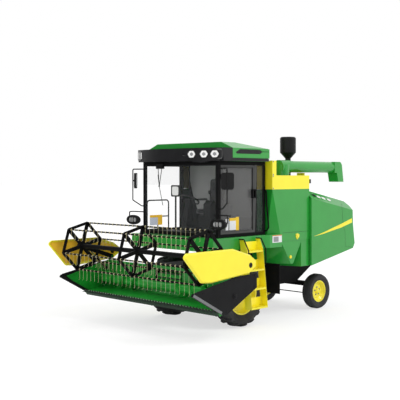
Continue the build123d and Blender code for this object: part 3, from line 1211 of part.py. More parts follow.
def cylinder_rod(centres_x, base, eye, barrel_r, pin_r):
    """Rods with a far eye each, seated in their barrels."""
    run = Vector(0, eye[0] - base[0], eye[1] - base[1])
    along = run.normalized()
    for x in centres_x:
        inner = Vector(x, *base) + along * (ROD_START + ROD_REACH[barrel_r])
        outer = Vector(x, *base) + along * (run.length - NECK_LEN)
        rod(tuple(inner), tuple(outer), BORE_OF[barrel_r])
        rod(tuple(outer), (x, *eye), min(NECK_R, BORE_OF[barrel_r]))
        rod((x - EYE_HALF, *eye), (x + EYE_HALF, *eye), EYE_R)
        rod((x - EYE_HALF - 1, *eye), (x + EYE_HALF + 1, *eye), pin_r + EYE_PLAY[barrel_r],
            mode=Mode.SUBTRACT)


with BuildPart() as lift_barrels:
    cylinder_barrel((-LIFT_X, LIFT_X), LIFT_BASE, LIFT_EYE, LIFT_BARREL_R, LIFT_PIN_R)
save(lift_barrels, "lift_barrels")
with BuildPart() as lift_rods:
    cylinder_rod((-LIFT_X, LIFT_X), LIFT_BASE, LIFT_EYE, LIFT_BARREL_R, LIFT_PIN_R)
save(lift_rods, "lift_rods")

# ---------------------------------------------------------------- header
REEL_BASE = (FRONT_AXLE_Y - 1050, 1000)
REEL_EYE = (FRONT_AXLE_Y - 1500, 1421)
REEL_CYL_X = HEADER_HALF - 30
REEL_PIN_R = 10
ARM_X = (HEADER_HALF - 105, HEADER_HALF - 65)
MOUTH_HALF = FEEDER_HALF - FEEDER_WALL
ARM_PIN_R = 16
SKID_H = 88            # height of the trough's front lower face
SIDE_T = 6             # inner side sheets of the trough
PLATE_OUTLINE = (
    (TIP_Y, TIP_Z),
    (FRONT_AXLE_Y - 1500, 520),
    (FRONT_AXLE_Y - 1360, 500),
    (FRONT_AXLE_Y - 560, 900),
    (FRONT_AXLE_Y - 560, 1160),
    (FRONT_AXLE_Y - 1100, 1140),
    (TIP_Y + 70, TIP_Z + 60),
)
BEVEL_W = 55
BEVEL_T = 26
with BuildPart() as header_frame:
    with BuildSketch(Plane.YZ.offset(-HEADER_HALF)) as trough:
        with BuildLine():
            knife = (KNIFE_Y, KNIFE_Z)
            floor_start = (AUGER_Y, AUGER_Z - TROUGH_R)
            back_low = (AUGER_Y + TROUGH_R, AUGER_Z)
            back_high = (AUGER_Y + TROUGH_R, BACK_TOP_Z)
            outer_r = TROUGH_R + HEADER_SHEET
            Line(knife, floor_start)
            RadiusArc(floor_start, back_low, -TROUGH_R)
            Line(back_low, back_high)
            Line(back_high, (back_high[0] + HEADER_SHEET, back_high[1]))
            Line((back_high[0] + HEADER_SHEET, back_high[1]), (AUGER_Y + outer_r, AUGER_Z))
            RadiusArc((AUGER_Y + outer_r, AUGER_Z), (AUGER_Y, AUGER_Z - outer_r), outer_r)
            Line((AUGER_Y, AUGER_Z - outer_r), (KNIFE_Y + 45, KNIFE_Z - SKID_H))
            Line((KNIFE_Y + 45, KNIFE_Z - SKID_H), (KNIFE_Y, KNIFE_Z - 20))
            Line((KNIFE_Y, KNIFE_Z - 20), knife)
        make_face()
    extrude(trough.sketch, amount=2 * HEADER_HALF)
    block((-MOUTH_HALF, MOUTH_HALF), (AUGER_Y + TROUGH_R - 60, AUGER_Y + TROUGH_R + HEADER_SHEET + 1),
          (FEEDER_BOTTOM_Z + FEEDER_WALL + 60, BACK_TOP_Z - 60), mode=Mode.SUBTRACT)
    # inner side sheets against the end plates
    for side in (-1, 1):
        yz_solid(
            [
                (TIP_Y + 160, TIP_Z + 10), (KNIFE_Y, KNIFE_Z - 20), (AUGER_Y,
                                                                     AUGER_Z - TROUGH_R - HEADER_SHEET),
                (AUGER_Y + TROUGH_R, AUGER_Z), (AUGER_Y + TROUGH_R, BACK_TOP_Z), (FRONT_AXLE_Y - 1200, 1110),
            ],
            side * HEADER_HALF,
            side * (HEADER_HALF - SIDE_T),
        )
        rod((side * (HEADER_HALF - SIDE_T - 1), AUGER_Y, AUGER_Z),
            (side * (HEADER_HALF + 1), AUGER_Y, AUGER_Z),
            AUGER_SHAFT_R + RUN_GAP, mode=Mode.SUBTRACT)
        rod((side * (HEADER_HALF - SIDE_T - 1), *REEL_BASE), (side * (HEADER_HALF + 1), *REEL_BASE),
            REEL_PIN_R + RUN_GAP, mode=Mode.SUBTRACT)
    # top rail and the brackets that carry the reel arms
    block((-HEADER_HALF, HEADER_HALF), (AUGER_Y + TROUGH_R - 30, FEEDER_FRONT_Y),
          (BACK_TOP_Z, BACK_TOP_Z + 30))
    for side in (-1, 1):
        yz_solid(
            [
                (ARM_PIVOT_Y - 45, BACK_TOP_Z + 30),
                (ARM_PIVOT_Y + 25, BACK_TOP_Z + 30),
                (ARM_PIVOT_Y + 25, ARM_PIVOT_Z + 30),
                (ARM_PIVOT_Y - 25, ARM_PIVOT_Z + 30),
            ],
            side * (ARM_X[1] + MOVE_GAP),
            side * (ARM_X[1] + MOVE_GAP + 20),
        )
        rod((side * ARM_X[0], ARM_PIVOT_Y, ARM_PIVOT_Z), (side * (ARM_X[1] + MOVE_GAP + 1), ARM_PIVOT_Y,
                                                          ARM_PIVOT_Z),
            ARM_PIN_R)
save(header_frame, "header_frame")

with BuildPart() as header_ends:
    for side in (-1, 1):
        outer = side * (HEADER_HALF + END_PLATE_T)
        yz_solid(PLATE_OUTLINE, side * HEADER_HALF, outer)
        # folded strip along the lower front edge, and the lip along the top
        edge = Vector(0, PLATE_OUTLINE[1][0] - TIP_Y, PLATE_OUTLINE[1][1] - TIP_Z).normalized()
        inward = (-edge.Z * BEVEL_W, edge.Y * BEVEL_W)
        yz_solid(
            [
                PLATE_OUTLINE[0], PLATE_OUTLINE[1],
                (PLATE_OUTLINE[1][0] + inward[0], PLATE_OUTLINE[1][1] + inward[1]),
                (PLATE_OUTLINE[0][0] + inward[0], PLATE_OUTLINE[0][1] + inward[1]),
            ],
            side * (HEADER_HALF + END_PLATE_T - 1),
            side * (HEADER_HALF - BEVEL_T),
        )
        rod((side * (REEL_CYL_X - EYE_HALF - 4), *REEL_BASE), (side * HEADER_HALF, *REEL_BASE), REEL_PIN_R)
        rod((side * (HEADER_HALF - 1), AUGER_Y, AUGER_Z), (side * (HEADER_HALF + END_PLATE_T + 1), AUGER_Y,
                                                           AUGER_Z),
            AUGER_SHAFT_R + RUN_GAP, mode=Mode.SUBTRACT)
    # the trough's side sheets and knife run up to the folded strips
    add(header_frame.part, mode=Mode.SUBTRACT)
save(header_ends, "header_ends")

GUARD_PITCH = 76.2
GUARD_COUNT = int((2 * HEADER_HALF - 80) / GUARD_PITCH)
GUARD_LEN = 80
BAR_W = 50
with BuildPart() as cutterbar:
    bar_half = HEADER_HALF - BEVEL_T - 1
    block((-bar_half, bar_half), (KNIFE_Y - BAR_W, KNIFE_Y), (KNIFE_Z - 14, KNIFE_Z))
    with BuildSketch(Plane.XY.offset(KNIFE_Z - 12)) as guards:
        with GridLocations(GUARD_PITCH, 1, GUARD_COUNT, 1):
            Polygon((-14, KNIFE_Y - BAR_W), (14, KNIFE_Y - BAR_W), (4, KNIFE_Y - BAR_W - GUARD_LEN),
                    (-4, KNIFE_Y - BAR_W - GUARD_LEN))
    extrude(guards.sketch, amount=10)
save(cutterbar, "cutterbar")

FLIGHT_T = 5
FLIGHT_PITCH = 340
FLIGHT_START_X = FEEDER_HALF + 60
FINGER_R = 8
with BuildPart() as header_auger:
    shaft_half = HEADER_HALF + END_PLATE_T
    rod((-HEADER_HALF + SIDE_T + MOVE_GAP, AUGER_Y, AUGER_Z), (HEADER_HALF - SIDE_T - MOVE_GAP, AUGER_Y,
                                                               AUGER_Z),
        AUGER_TUBE_R)
    rod((-shaft_half, AUGER_Y, AUGER_Z), (shaft_half, AUGER_Y, AUGER_Z), AUGER_SHAFT_R)
    flight_run = HEADER_HALF - SIDE_T - MOVE_GAP - 10 - FLIGHT_START_X
    for side in (-1, 1):
        # the two flights are wound opposite ways, so both carry the crop to the middle
        with BuildLine():
            coil = Helix(FLIGHT_PITCH, flight_run, AUGER_TUBE_R,
                         center=(side * FLIGHT_START_X, AUGER_Y, AUGER_Z),
                         direction=(side, 0, 0), lefthand=side < 0)
        start = coil @ 0
        radial = Vector(0, start.Y - AUGER_Y, start.Z - AUGER_Z).normalized()
        blade = Plane(origin=start - radial * 6, x_dir=radial, z_dir=coil % 0)
        with BuildSketch(blade) as flight_section:
            with Locations(((AUGER_FLIGHT_R - AUGER_TUBE_R + 6) / 2, 0)):
                Rectangle(AUGER_FLIGHT_R - AUGER_TUBE_R + 6, FLIGHT_T)
        sweep(flight_section.sketch, path=coil, is_frenet=True)
    # retracting fingers in the middle
    for step, x in enumerate((-300, -180, -60, 60, 180, 300)):
        for turn in (step * 60, step * 60 + 180):
            tip = polar((AUGER_Y, AUGER_Z), AUGER_FLIGHT_R - 4, turn)
            rod((x, AUGER_Y, AUGER_Z), (x, *tip), FINGER_R)
save(header_auger, "header_auger")

# ---------------------------------------------------------------- reel arms, shields and cylinders
SHIELD_X = (HEADER_HALF + 27, HEADER_HALF + 80)
SHIELD_T = 8
SHIELD_CORNER_R = 45
SHIELD_BEVEL = 22
SHIELD_HOLE = (FRONT_AXLE_Y - 800, 1325)
SHIELD_HOLE_R = 48
SHIELD_PROFILE = (
    (FRONT_AXLE_Y - 2455, 1575),
    (FRONT_AXLE_Y - 2375, 1638),
    (FRONT_AXLE_Y - 1250, 1642),
    (FRONT_AXLE_Y - 800, 1510),
    (FRONT_AXLE_Y - 640, 1400),
    (FRONT_AXLE_Y - 640, 1290),
    (FRONT_AXLE_Y - 820, 1180),
    (FRONT_AXLE_Y - 1300, 1140),
    (FRONT_AXLE_Y - 1800, 1098),
    (FRONT_AXLE_Y - 2030, 1115),
)


def arm_z(y):
    """Height of the reel arm's centre line at a station."""
    return ARM_PIVOT_Z + (REEL_Z - ARM_PIVOT_Z) * (y - ARM_PIVOT_Y) / (REEL_Y - ARM_PIVOT_Y)


with BuildPart() as reel_arms:
    for side in (-1, 1):
        inner = side * ARM_X[0]
        outer = side * ARM_X[1]
        yz_solid(
            [
                (ARM_PIVOT_Y, ARM_PIVOT_Z + 45),
                (ARM_PIVOT_Y, ARM_PIVOT_Z - 45),
                (REEL_Y, REEL_Z - 35),
                (REEL_Y, REEL_Z + 35),
            ],
            inner,
            outer,
        )
        rod((inner, ARM_PIVOT_Y, ARM_PIVOT_Z), (outer, ARM_PIVOT_Y, ARM_PIVOT_Z), 45)
        rod((inner, REEL_Y, REEL_Z), (outer, REEL_Y, REEL_Z), 60)
        rod((outer, *REEL_EYE), (side * (REEL_CYL_X + EYE_HALF + 2), *REEL_EYE), REEL_PIN_R)
        for y in (FRONT_AXLE_Y - 1150, FRONT_AXLE_Y - 1700):
            rod((outer, y, arm_z(y)), (side * (SHIELD_X[1] - SHIELD_T), y, arm_z(y)), 12)
    for side in (-1, 1):
        rod((side * (ARM_X[0] - 1), ARM_PIVOT_Y, ARM_PIVOT_Z),
            (side * (ARM_X[1] + 1), ARM_PIVOT_Y, ARM_PIVOT_Z),
            ARM_PIN_R + RUN_GAP, mode=Mode.SUBTRACT)
        rod((side * (ARM_X[0] - 1), REEL_Y, REEL_Z), (side * (ARM_X[1] + 1), REEL_Y, REEL_Z),
            25 + RUN_GAP, mode=Mode.SUBTRACT)
save(reel_arms, "reel_arms")

with BuildPart() as reel_shields:
    for side in (-1, 1):
        yz_solid(SHIELD_PROFILE, side * SHIELD_X[0], side * SHIELD_X[1])
    corners = reel_shields.edges().filter_by(Axis.X)
    fillet(corners, radius=SHIELD_CORNER_R)
    for outer_face in (reel_shields.faces().sort_by(Axis.X)[0], reel_shields.faces().sort_by(Axis.X)[-1]):
        chamfer(outer_face.edges(), length=SHIELD_BEVEL)
    open_sides = reel_shields.faces().filter_by(Axis.X).sort_by(Axis.X)[1:3]
    offset(amount=-SHIELD_T, openings=open_sides)
    for side in (-1, 1):
        rod((side * (SHIELD_X[1] - 2 * SHIELD_T), *SHIELD_HOLE), (side * (SHIELD_X[1] + 1), *SHIELD_HOLE),
            SHIELD_HOLE_R,
            mode=Mode.SUBTRACT)
save(reel_shields, "reel_shields")

with BuildPart() as reel_barrels:
    cylinder_barrel((-REEL_CYL_X, REEL_CYL_X), REEL_BASE, REEL_EYE, REEL_BARREL_R, REEL_PIN_R)
save(reel_barrels, "reel_barrels")
with BuildPart() as reel_rods:
    cylinder_rod((-REEL_CYL_X, REEL_CYL_X), REEL_BASE, REEL_EYE, REEL_BARREL_R, REEL_PIN_R)
save(reel_rods, "reel_rods")

# ---------------------------------------------------------------- reel
BAT_R = 14
SPIDER_T = 8
SPOKE_W = 60
with BuildPart() as reel:
    rod((-REEL_HALF, REEL_Y, REEL_Z), (REEL_HALF, REEL_Y, REEL_Z), 45)
    rod((-ARM_X[1] + 2, REEL_Y, REEL_Z), (ARM_X[1] - 2, REEL_Y, REEL_Z), 25)
    bats = [polar((REEL_Y, REEL_Z), REEL_R, REEL_PHASE + step * 360 / BAT_COUNT) for step in range(BAT_COUNT)]
    for x in (-SPIDER_X, 0, SPIDER_X):
        with BuildSketch(Plane.YZ.offset(x - SPIDER_T / 2)) as spider:
            for step, bat in enumerate(bats):
                turn = 180 - (REEL_PHASE + step * 360 / BAT_COUNT)
                middle = ((REEL_Y + bat[0]) / 2, (REEL_Z + bat[1]) / 2)
                with Locations(Location((*middle, 0), (0, 0, turn))):
                    Rectangle(REEL_R, SPOKE_W)
                rim_middle = ((bat[0] + bats[step - 1][0]) / 2, (bat[1] + bats[step - 1][1]) / 2)
                with Locations(Location((*rim_middle, 0), (0, 0, turn + 120))):
                    Rectangle(REEL_R, SPOKE_W * 0.7)
        extrude(spider.sketch, amount=SPIDER_T)
    for y, z in bats:
        rod((-REEL_HALF, y, z), (REEL_HALF, y, z), BAT_R)
        with BuildSketch(Plane.XY.offset(z)) as tines:
            with Locations((0, y)):
                with GridLocations(TINE_PITCH, 1, TINE_COUNT, 1):
                    Rectangle(7, 7)
        extrude(tines.sketch, amount=-TINE_LEN)
save(reel, "reel")
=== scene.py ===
"""Paint, glass, rubber and small fittings of a combine harvester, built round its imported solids."""
from math import asin, copysign, cos, exp, pi, radians, sin, sqrt, tau

import bmesh
import bpy
from mathutils import Matrix, Vector


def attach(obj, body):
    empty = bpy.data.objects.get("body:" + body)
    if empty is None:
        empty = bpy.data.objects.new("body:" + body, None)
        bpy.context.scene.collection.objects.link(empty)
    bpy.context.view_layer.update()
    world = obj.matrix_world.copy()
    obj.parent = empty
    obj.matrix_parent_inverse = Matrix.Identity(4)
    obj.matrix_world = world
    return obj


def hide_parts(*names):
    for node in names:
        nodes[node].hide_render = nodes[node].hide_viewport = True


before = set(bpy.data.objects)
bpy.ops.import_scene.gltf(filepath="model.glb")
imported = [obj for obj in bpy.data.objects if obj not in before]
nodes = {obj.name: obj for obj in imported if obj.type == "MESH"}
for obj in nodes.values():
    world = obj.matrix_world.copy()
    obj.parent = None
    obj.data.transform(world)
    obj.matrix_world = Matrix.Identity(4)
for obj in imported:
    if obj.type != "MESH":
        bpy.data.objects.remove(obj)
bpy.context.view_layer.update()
scene = bpy.context.scene


# ---- making materials
def linear(hex_colour):
    """Linear RGBA of an sRGB hex colour."""
    parts = [int(hex_colour[i:i + 2], 16) / 255 for i in (0, 2, 4)]
    return (*(p / 12.92 if p <= 0.04045 else ((p + 0.055) / 1.055) ** 2.4 for p in parts), 1.0)


def add(tree, kind, inputs=None, **settings):
    """Adds a node; each named input takes a value, a socket, or a node whose first output feeds it."""
    made = tree.nodes.new(kind)
    for name, value in settings.items():
        setattr(made, name, value)
    for name, value in (inputs or {}).items():
        if isinstance(value, bpy.types.Node):
            value = value.outputs[0]
        if isinstance(value, bpy.types.NodeSocket):
            tree.links.new(value, made.inputs[name])
        else:
            made.inputs[name].default_value = value
    return made


def emptied(holder):
    """The node tree of a material or a world, with nothing in it."""
    holder.use_nodes = True
    holder.node_tree.nodes.clear()
    return holder.node_tree


def blank(name, roughness, metallic=0.0, specular=0.5, **sockets):
    """A material with one shader; returns it with its tree, shader and object coordinates."""
    material = bpy.data.materials.new(name)
    tree = emptied(material)
    shader = add(tree, "ShaderNodeBsdfPrincipled",
                 {"Roughness": roughness, "Metallic": metallic, "Specular IOR Level": specular})
    for socket, value in sockets.items():
        shader.inputs[socket.replace("_", " ")].default_value = value
    add(tree, "ShaderNodeOutputMaterial", {"Surface": shader})
    place = add(tree, "ShaderNodeTexCoord").outputs["Object"]
    return material, tree, shader, place


def mottled(tree, place, size, low, high):
    """A colour that drifts between two close shades over patches of a real size in metres."""
    noise = add(tree, "ShaderNodeTexNoise",
                {"Vector": place, "Scale": 1 / size, "Detail": 3.0, "Roughness": 0.55})
    ramp = add(tree, "ShaderNodeValToRGB", {"Fac": noise})
    for stop, position, shade in zip(ramp.color_ramp.elements, (0.35, 0.65), (low, high)):
        stop.position = position
        stop.color = linear(shade)
    return ramp.outputs["Color"]


def skin(tree, shader, place, shades, size, height, strength, depth):
    """Finishes a shader: colour that drifts between two shades, and a relief of a depth in metres."""
    tree.links.new(mottled(tree, place, size, *shades), shader.inputs["Base Color"])
    bump = add(tree, "ShaderNodeBump", {"Height": height, "Strength": strength, "Distance": depth})
    tree.links.new(bump.outputs[0], shader.inputs["Normal"])


def enamel(name, colour, shade, worn, roughness=0.34, coat=0.5, specular=0.5):
    """Sprayed enamel on sheet steel: close colour drift, worn edges, orange peel and a clear coat."""
    material, tree, shader, place = blank(name, roughness, 0.0, specular, Coat_Weight=coat,
                                          Coat_Roughness=0.16)
    # an edge is where the rounded normal leaves the face's own
    rounded = add(tree, "ShaderNodeBevel", {"Radius": 0.006}, samples=4)
    face = add(tree, "ShaderNodeNewGeometry")
    along = add(tree, "ShaderNodeVectorMath", {0: rounded, 1: face.outputs["True Normal"]},
                operation="DOT_PRODUCT")
    edge = add(tree, "ShaderNodeMapRange",
               {"Value": along.outputs["Value"], "From Min": 0.98, "From Max": 0.80})
    scuff = add(tree, "ShaderNodeTexNoise", {"Vector": place, "Scale": 60.0, "Detail": 2.0})
    wear = add(tree, "ShaderNodeMath", {0: edge, 1: scuff}, operation="MULTIPLY")
    paint = mottled(tree, place, 0.45, shade, colour)
    mix = add(tree, "ShaderNodeMix", {"Factor": wear, "A": paint, "B": linear(worn)}, data_type="RGBA")
    tree.links.new(mix.outputs["Result"], shader.inputs["Base Color"])
    peel = add(tree, "ShaderNodeTexNoise", {"Vector": place, "Scale": 1 / 0.0035, "Detail": 1.0})
    bump = add(tree, "ShaderNodeBump",
               {"Height": peel, "Strength": 0.05, "Distance": 0.0006, "Normal": rounded})
    tree.links.new(bump.outputs[0], shader.inputs["Normal"])
    return material


def moulded(name, colour, shade, roughness, grain, depth, **sockets):
    """Moulded polymer or rubber with a fine leathery grain of a real size in metres."""
    material, tree, shader, place = blank(name, roughness, **sockets)
    cells = add(tree, "ShaderNodeTexVoronoi", {"Vector": place, "Scale": 1 / grain},
                feature="DISTANCE_TO_EDGE")
    skin(tree, shader, place, (shade, colour), 0.20, cells, 0.35, depth)
    return material


def metal(name, colour, shade, roughness, grain):
    """Bare metal with a fine grain of a real size in metres."""
    material, tree, shader, place = blank(name, roughness, metallic=1.0)
    lines = add(tree, "ShaderNodeTexNoise", {"Vector": place, "Scale": 1 / grain, "Detail": 2.0})
    skin(tree, shader, place, (shade, colour), 0.08, lines, 0.15, 0.0004)
    return material


def pane(name, colour, alpha):
    """Safety glass a few millimetres thick: seen through, with a grey tint and a faint wave in it."""
    material, tree, shader, place = blank(name, 0.03, Alpha=alpha, IOR=1.5)
    waves = add(tree, "ShaderNodeTexNoise", {"Vector": place, "Scale": 3.0, "Detail": 1.0})
    skin(tree, shader, place, (colour, colour), 0.6, waves, 0.04, 0.002)
    return material


def woven(name, colour, shade, thread):
    """Seat cloth: two crossed sets of threads, thread is their spacing in metres."""
    material, tree, shader, place = blank(name, 0.85, Sheen_Weight=0.4, Sheen_Roughness=0.5)
    warp, weft = (add(tree, "ShaderNodeTexWave",
                      {"Vector": place, "Scale": 1 / (tau * thread), "Distortion": 0.3},
                      bands_direction=axis).outputs["Fac"] for axis in ("X", "Z"))
    weave = add(tree, "ShaderNodeMath", {0: warp, 1: weft}, operation="ADD")
    skin(tree, shader, place, (shade, colour), 0.05, weave, 0.5, 0.001)
    return material


# body enamel, the strong green of field machines: deep and even, glossy where the sky meets it
green_enamel = enamel("green_body_enamel", "1E9C32", "1B962F", "46B45A")
# the same paint inside the header, where crop has dulled its gloss
trough_enamel = enamel("green_trough_enamel", "179A2C", "14902A", "3AA04C", roughness=0.42, coat=0.25)
# painted shade: dark green for the header's lip, cutterbar and slats, which lie in shade below the trough
shade_green_enamel = enamel("painted_shade_green_enamel", "1E3A28", "18301F", "3A5A46", roughness=0.5, coat=0.1,
                           specular=0.3)
# trim enamel: lemon yellow, thick and glossy, slightly orange in its thin places
yellow_enamel = enamel("yellow_trim_enamel", "FFF426", "FFEE22", "FFF8A0")
# painted shade: golden yellow on the shields' inner faces, where the yellow trim lies in shade
shade_gold_enamel = enamel("painted_shade_gold_enamel", "FFCC38", "FAC22E", "FAD070", roughness=0.5, coat=0.1)
# chassis enamel: satin black, with grey scuffs on its edges
black_enamel = enamel("black_chassis_enamel", "161617", "121213", "404042", roughness=0.5, coat=0.0,
                      specular=0.06)
# end-plate enamel: smoother black, nearly flat
plate_enamel = enamel("black_plate_enamel", "1B1B1D", "171719", "4C4C50", roughness=0.45, coat=0.0,
                      specular=0.12)
# engine paint: plain machinery grey
grey_enamel = enamel("grey_engine_enamel", "5A5E60", "505456", "8A8E90", roughness=0.45, coat=0.1)
# painted highlight: grey along the end plates' folded bevel, where it catches the light
highlight_grey_enamel = enamel("painted_highlight_grey_enamel", "77797B", "6E7072", "A0A2A4", roughness=0.5, coat=0.1)
# cab lining board, mid grey and matt
lining_board = moulded("grey_lining_board", "A0A0A0", "9A9A9A", 0.8, 0.004, 0.0004)
# the cab's trim below and beside the board, black and matt
trim_board = moulded("black_lining_board", "1C1C1D", "171718", 0.8, 0.004, 0.0004, specular=0.2)
# ABS mouldings, textured black
black_abs = moulded("black_textured_abs", "1A1A1B", "151516", 0.5, 0.0025, 0.0003, specular=0.22)
# smooth satin ABS of the lamp surround
smooth_abs = moulded("black_satin_abs", "212123", "1C1C1E", 0.36, 0.006, 0.0001, specular=0.3)
# tyre rubber, dark grey with a bloom on its flanks
tyre_rubber = moulded("bloomed_tyre_rubber", "414143", "38383A", 0.78, 0.005, 0.0006, specular=0.2)
# flap rubber with cloth ply in it
flap_rubber = moulded("ply_flap_rubber", "161617", "111112", 0.7, 0.006, 0.0005, specular=0.2)
# turned and ground steel of the bolts, softly bright
ground_steel = metal("ground_steel", "A4A6A8", "8E9092", 0.34, 0.002)
# zinc-plated rivet heads, pale and even, without a mirror to them
pale_zinc = moulded("zinc_plated_rivets", "D0D2D0", "B8BAB8", 0.4, 0.004, 0.0001)
# knife steel, dulled and stained by sap
dull_steel = metal("dull_knife_steel", "5A5E5A", "4A4E4A", 0.5, 0.002)
# hard chrome of the cylinder rods and the stud in the fascia
hard_chrome = metal("hard_chrome", "D8DADC", "CCCED0", 0.10, 0.003)
# mirror glass, silvered behind
silvered_glass = metal("silvered_mirror_glass", "DADDE0", "D2D5D8", 0.04, 0.05)
# windscreen and side glass, almost clear
clear_glass = pane("clear_cab_glass", "B8BCBE", 0.03)
# door glass, lightly smoked
smoked_glass = pane("smoked_door_glass", "686868", 0.55)
# red lens of the rear lamps, clear-coated and deep
red_lens = moulded("red_lamp_lens", "A81418", "8C0E12", 0.18, 0.004, 0.0006, Coat_Weight=0.6)
# bright white moulding of the lamp petals
white_abs = moulded("white_lamp_moulding", "F6F6F4", "EFEFEE", 0.35, 0.004, 0.0001)
# tine polymer, pale straw colour and a little waxy
tine_polymer = moulded("straw_tine_polymer", "EFE6C0", "E2D6A4", 0.45, 0.004, 0.0001)
# plain sheets of the blank signs and plates
sign_white = moulded("white_sign_sheet", "ECECEE", "E2E4E8", 0.4, 0.02, 0.00005)
sign_yellow = moulded("yellow_sign_sheet", "F2C81C", "E8BC14", 0.4, 0.02, 0.00005)
# the far side's signs glow with painted light, so that they stay bright in the shaded cab
glow_white_sign = moulded("white_sign_painted_light", "D8DCE4", "CED2DC", 0.4, 0.02, 0.00005,
                     Emission_Color=linear("A6ACB8"), Emission_Strength=0.7)
glow_yellow_sign = moulded("yellow_sign_painted_light", "F2C81C", "E8BC14", 0.4, 0.02, 0.00005,
                      Emission_Color=linear("D8A818"), Emission_Strength=0.7)
sign_orange = moulded("orange_sign_sheet", "E8893A", "DC7C30", 0.4, 0.02, 0.00005)
# shut lines between sheets, seen as near-black gaps with green beside them; the same paint is painted shade
# along the tank's fold line and in the wheels' hand holes
seam_and_shade_black = moulded("shadow_line_paint", "12301A", "0E2615", 0.7, 0.004, 0.0001)
# dull plastic cores of the roof lamps, also the plates' grey field
core_grey = moulded("grey_lamp_core", "9A9C9E", "8C8E90", 0.35, 0.003, 0.0002)
# grey moulding of the work lamps' bowls, half bright: a painted reflection of their chrome
reflection_grey = moulded("lamp_bowl_painted_reflection", "6E7072", "5C5E60", 0.3, 0.003, 0.0002)
# black glass of the corner pods, mirror smooth
gloss_black = moulded("black_pod_glass", "0C0C0E", "080809", 0.08, 0.05, 0.00002, Coat_Weight=0.6)
# quarter glass: opaque panes with a painted view of the tank through dark glass, its yellow front darkened to
# olive above and its green wall below
tank_view_olive_glass = moulded("quarter_glass_painted_tank_top", "5A5220", "524A1C", 0.4, 0.20, 0.00002, specular=0.1)
tank_view_green_glass = moulded("quarter_glass_painted_tank_wall", "10301A", "0D2815", 0.4, 0.20, 0.00002, specular=0.1)
# bonded door glass where black frame lies behind it
skin_glass = moulded("bonded_grey_glass", "505050", "4C4C4C", 0.3, 0.20, 0.00002, specular=0.2)
# window rubbers, soft and dead black
seal_rubber = moulded("window_seal_rubber", "141415", "101011", 0.6, 0.004, 0.0002)
# seat cloth, near black and soft, its weave just seen
seat_cloth = woven("black_seat_cloth", "222326", "1B1C1E", 0.004)

NODES_OF_MATERIAL = (
    (black_enamel, "chassis_frame separator_body rear_axle knuckle_left knuckle_right tie_rod handrails "
                   "cab_frame cab_door feeder_house lift_barrels reel_arms reel_barrels reel"),
    (green_enamel, "platform cab_roof grain_tank side_hoppers rear_hood unloading_riser unloading_tube"),
    (yellow_enamel, "ladder tank_extension reel_shields "
                    "rim_front_left rim_front_right rim_rear_left rim_rear_right"),
    (trough_enamel, "header_frame header_auger"),
    # the cutterbar in the dark green of painted shade
    (shade_green_enamel, "cutterbar"),
    (plate_enamel, "header_ends"),
    (grey_enamel, "engine"),
    (hard_chrome, "lift_rods reel_rods"),
    (black_abs, "lamps mirrors steering_console air_precleaner"),
    (smooth_abs, "roof_fascia"),
    (clear_glass, "cab_glass"),
    (smoked_glass, "door_glass"),
    (red_lens, "rear_lamps"),
    (seat_cloth, "operator_seat"),
    (flap_rubber, "mud_flaps"),
    (tyre_rubber, "tyre_front_left tyre_front_right tyre_rear_left tyre_rear_right"),
)
for material, names in NODES_OF_MATERIAL:
    for name in names.split():
        for slot in nodes[name].material_slots:
            slot.material = material


# ---- driving places, in metres
SIDES = (-1, 1)
ACROSS = (1, 0, 0)
UP = (0, 0, 1)
# the front axle, from which the places along the machine are given
AXLE_Y = -0.540
TANK_X = 1.215
HOOD_X = 1.275
ROOF_X = 1.200
HEADER_X = 1.870
# how far thin sheets start inside the face that they lie on
SUNK = 0.0005


# ---- outlines
def rect(low, high):
    """The corners of a rectangle, as an outline."""
    (a0, b0), (a1, b1) = low, high
    return [(a0, b0), (a1, b0), (a1, b1), (a0, b1)]


def frame_of(low, high, width):
    """The outer and the inner outline of a rectangular frame."""
    return rect(low, high), rect([v + width for v in low], [v - width for v in high])


def oval(size, power=2.0, steps=28, more=0.0):
    """A rounded outline of half width and half height, more all round; a power over 2 is squarer."""
    points = []
    for step in range(steps):
        turn = tau * step / steps
        points.append([(half + more) * copysign(abs(way) ** (2 / power), way)
                       for half, way in zip(size, (cos(turn), sin(turn)))])
    return points


def band(points, width):
    """The outline of a band of one width that follows points, as a painted seam does."""
    right_edge, left_edge = [], []
    for i, point in enumerate(points):
        along = Vector(points[min(i + 1, len(points) - 1)]) - Vector(points[max(i - 1, 0)])
        offset = Vector((along.y, -along.x)).normalized() * (width / 2)
        right_edge.append(tuple(Vector(point) + offset))
        left_edge.append(tuple(Vector(point) - offset))
    return right_edge + left_edge[::-1]


def on_side(points, side=1):
    """Side-view points (y from the front axle, z) in the plane of a side face."""
    return [(side * (y + AXLE_Y), z) for y, z in points]


# ---- closed solids, as corners and faces
def capped(count):
    """Faces of a solid between two like outlines of count corners, one numbered after the other."""
    sides = [(i, i + count, (i + 1) % count + count, (i + 1) % count) for i in range(count)]
    return [tuple(range(count)), tuple(range(2 * count - 1, count - 1, -1)), *sides]


def prism(outline, axis, low, high):
    """An outline pushed along x, y or z from low to high; it gives the other two places in order."""
    spot = "xyz".index(axis)
    verts = [(*point[:spot], depth, *point[spot:]) for depth in (low, high) for point in outline]
    return verts, capped(len(outline))


def slab(low, high):
    """A box between two corners."""
    return prism(rect(low[:2], high[:2]), "z", low[2], high[2])


def lathe(profile, centre, direction=ACROSS, steps=28):
    """A profile of (distance along, radius) turned about a line, closed at both ends."""
    turn = Vector(direction).to_track_quat("Z", "Y").to_matrix()
    verts, faces = [], []
    for along, radius in profile:
        for step in range(steps):
            angle = tau * step / steps
            local = Vector((radius * cos(angle), radius * sin(angle), along))
            verts.append(tuple(Vector(centre) + turn @ local))
    last = (len(profile) - 1) * steps
    for ring in range(0, last, steps):
        for step in range(steps):
            here, after = ring + step, ring + (step + 1) % steps
            faces.append((here, after, after + steps, here + steps))
    return verts, [*faces, tuple(range(steps)), tuple(range(last, last + steps))]


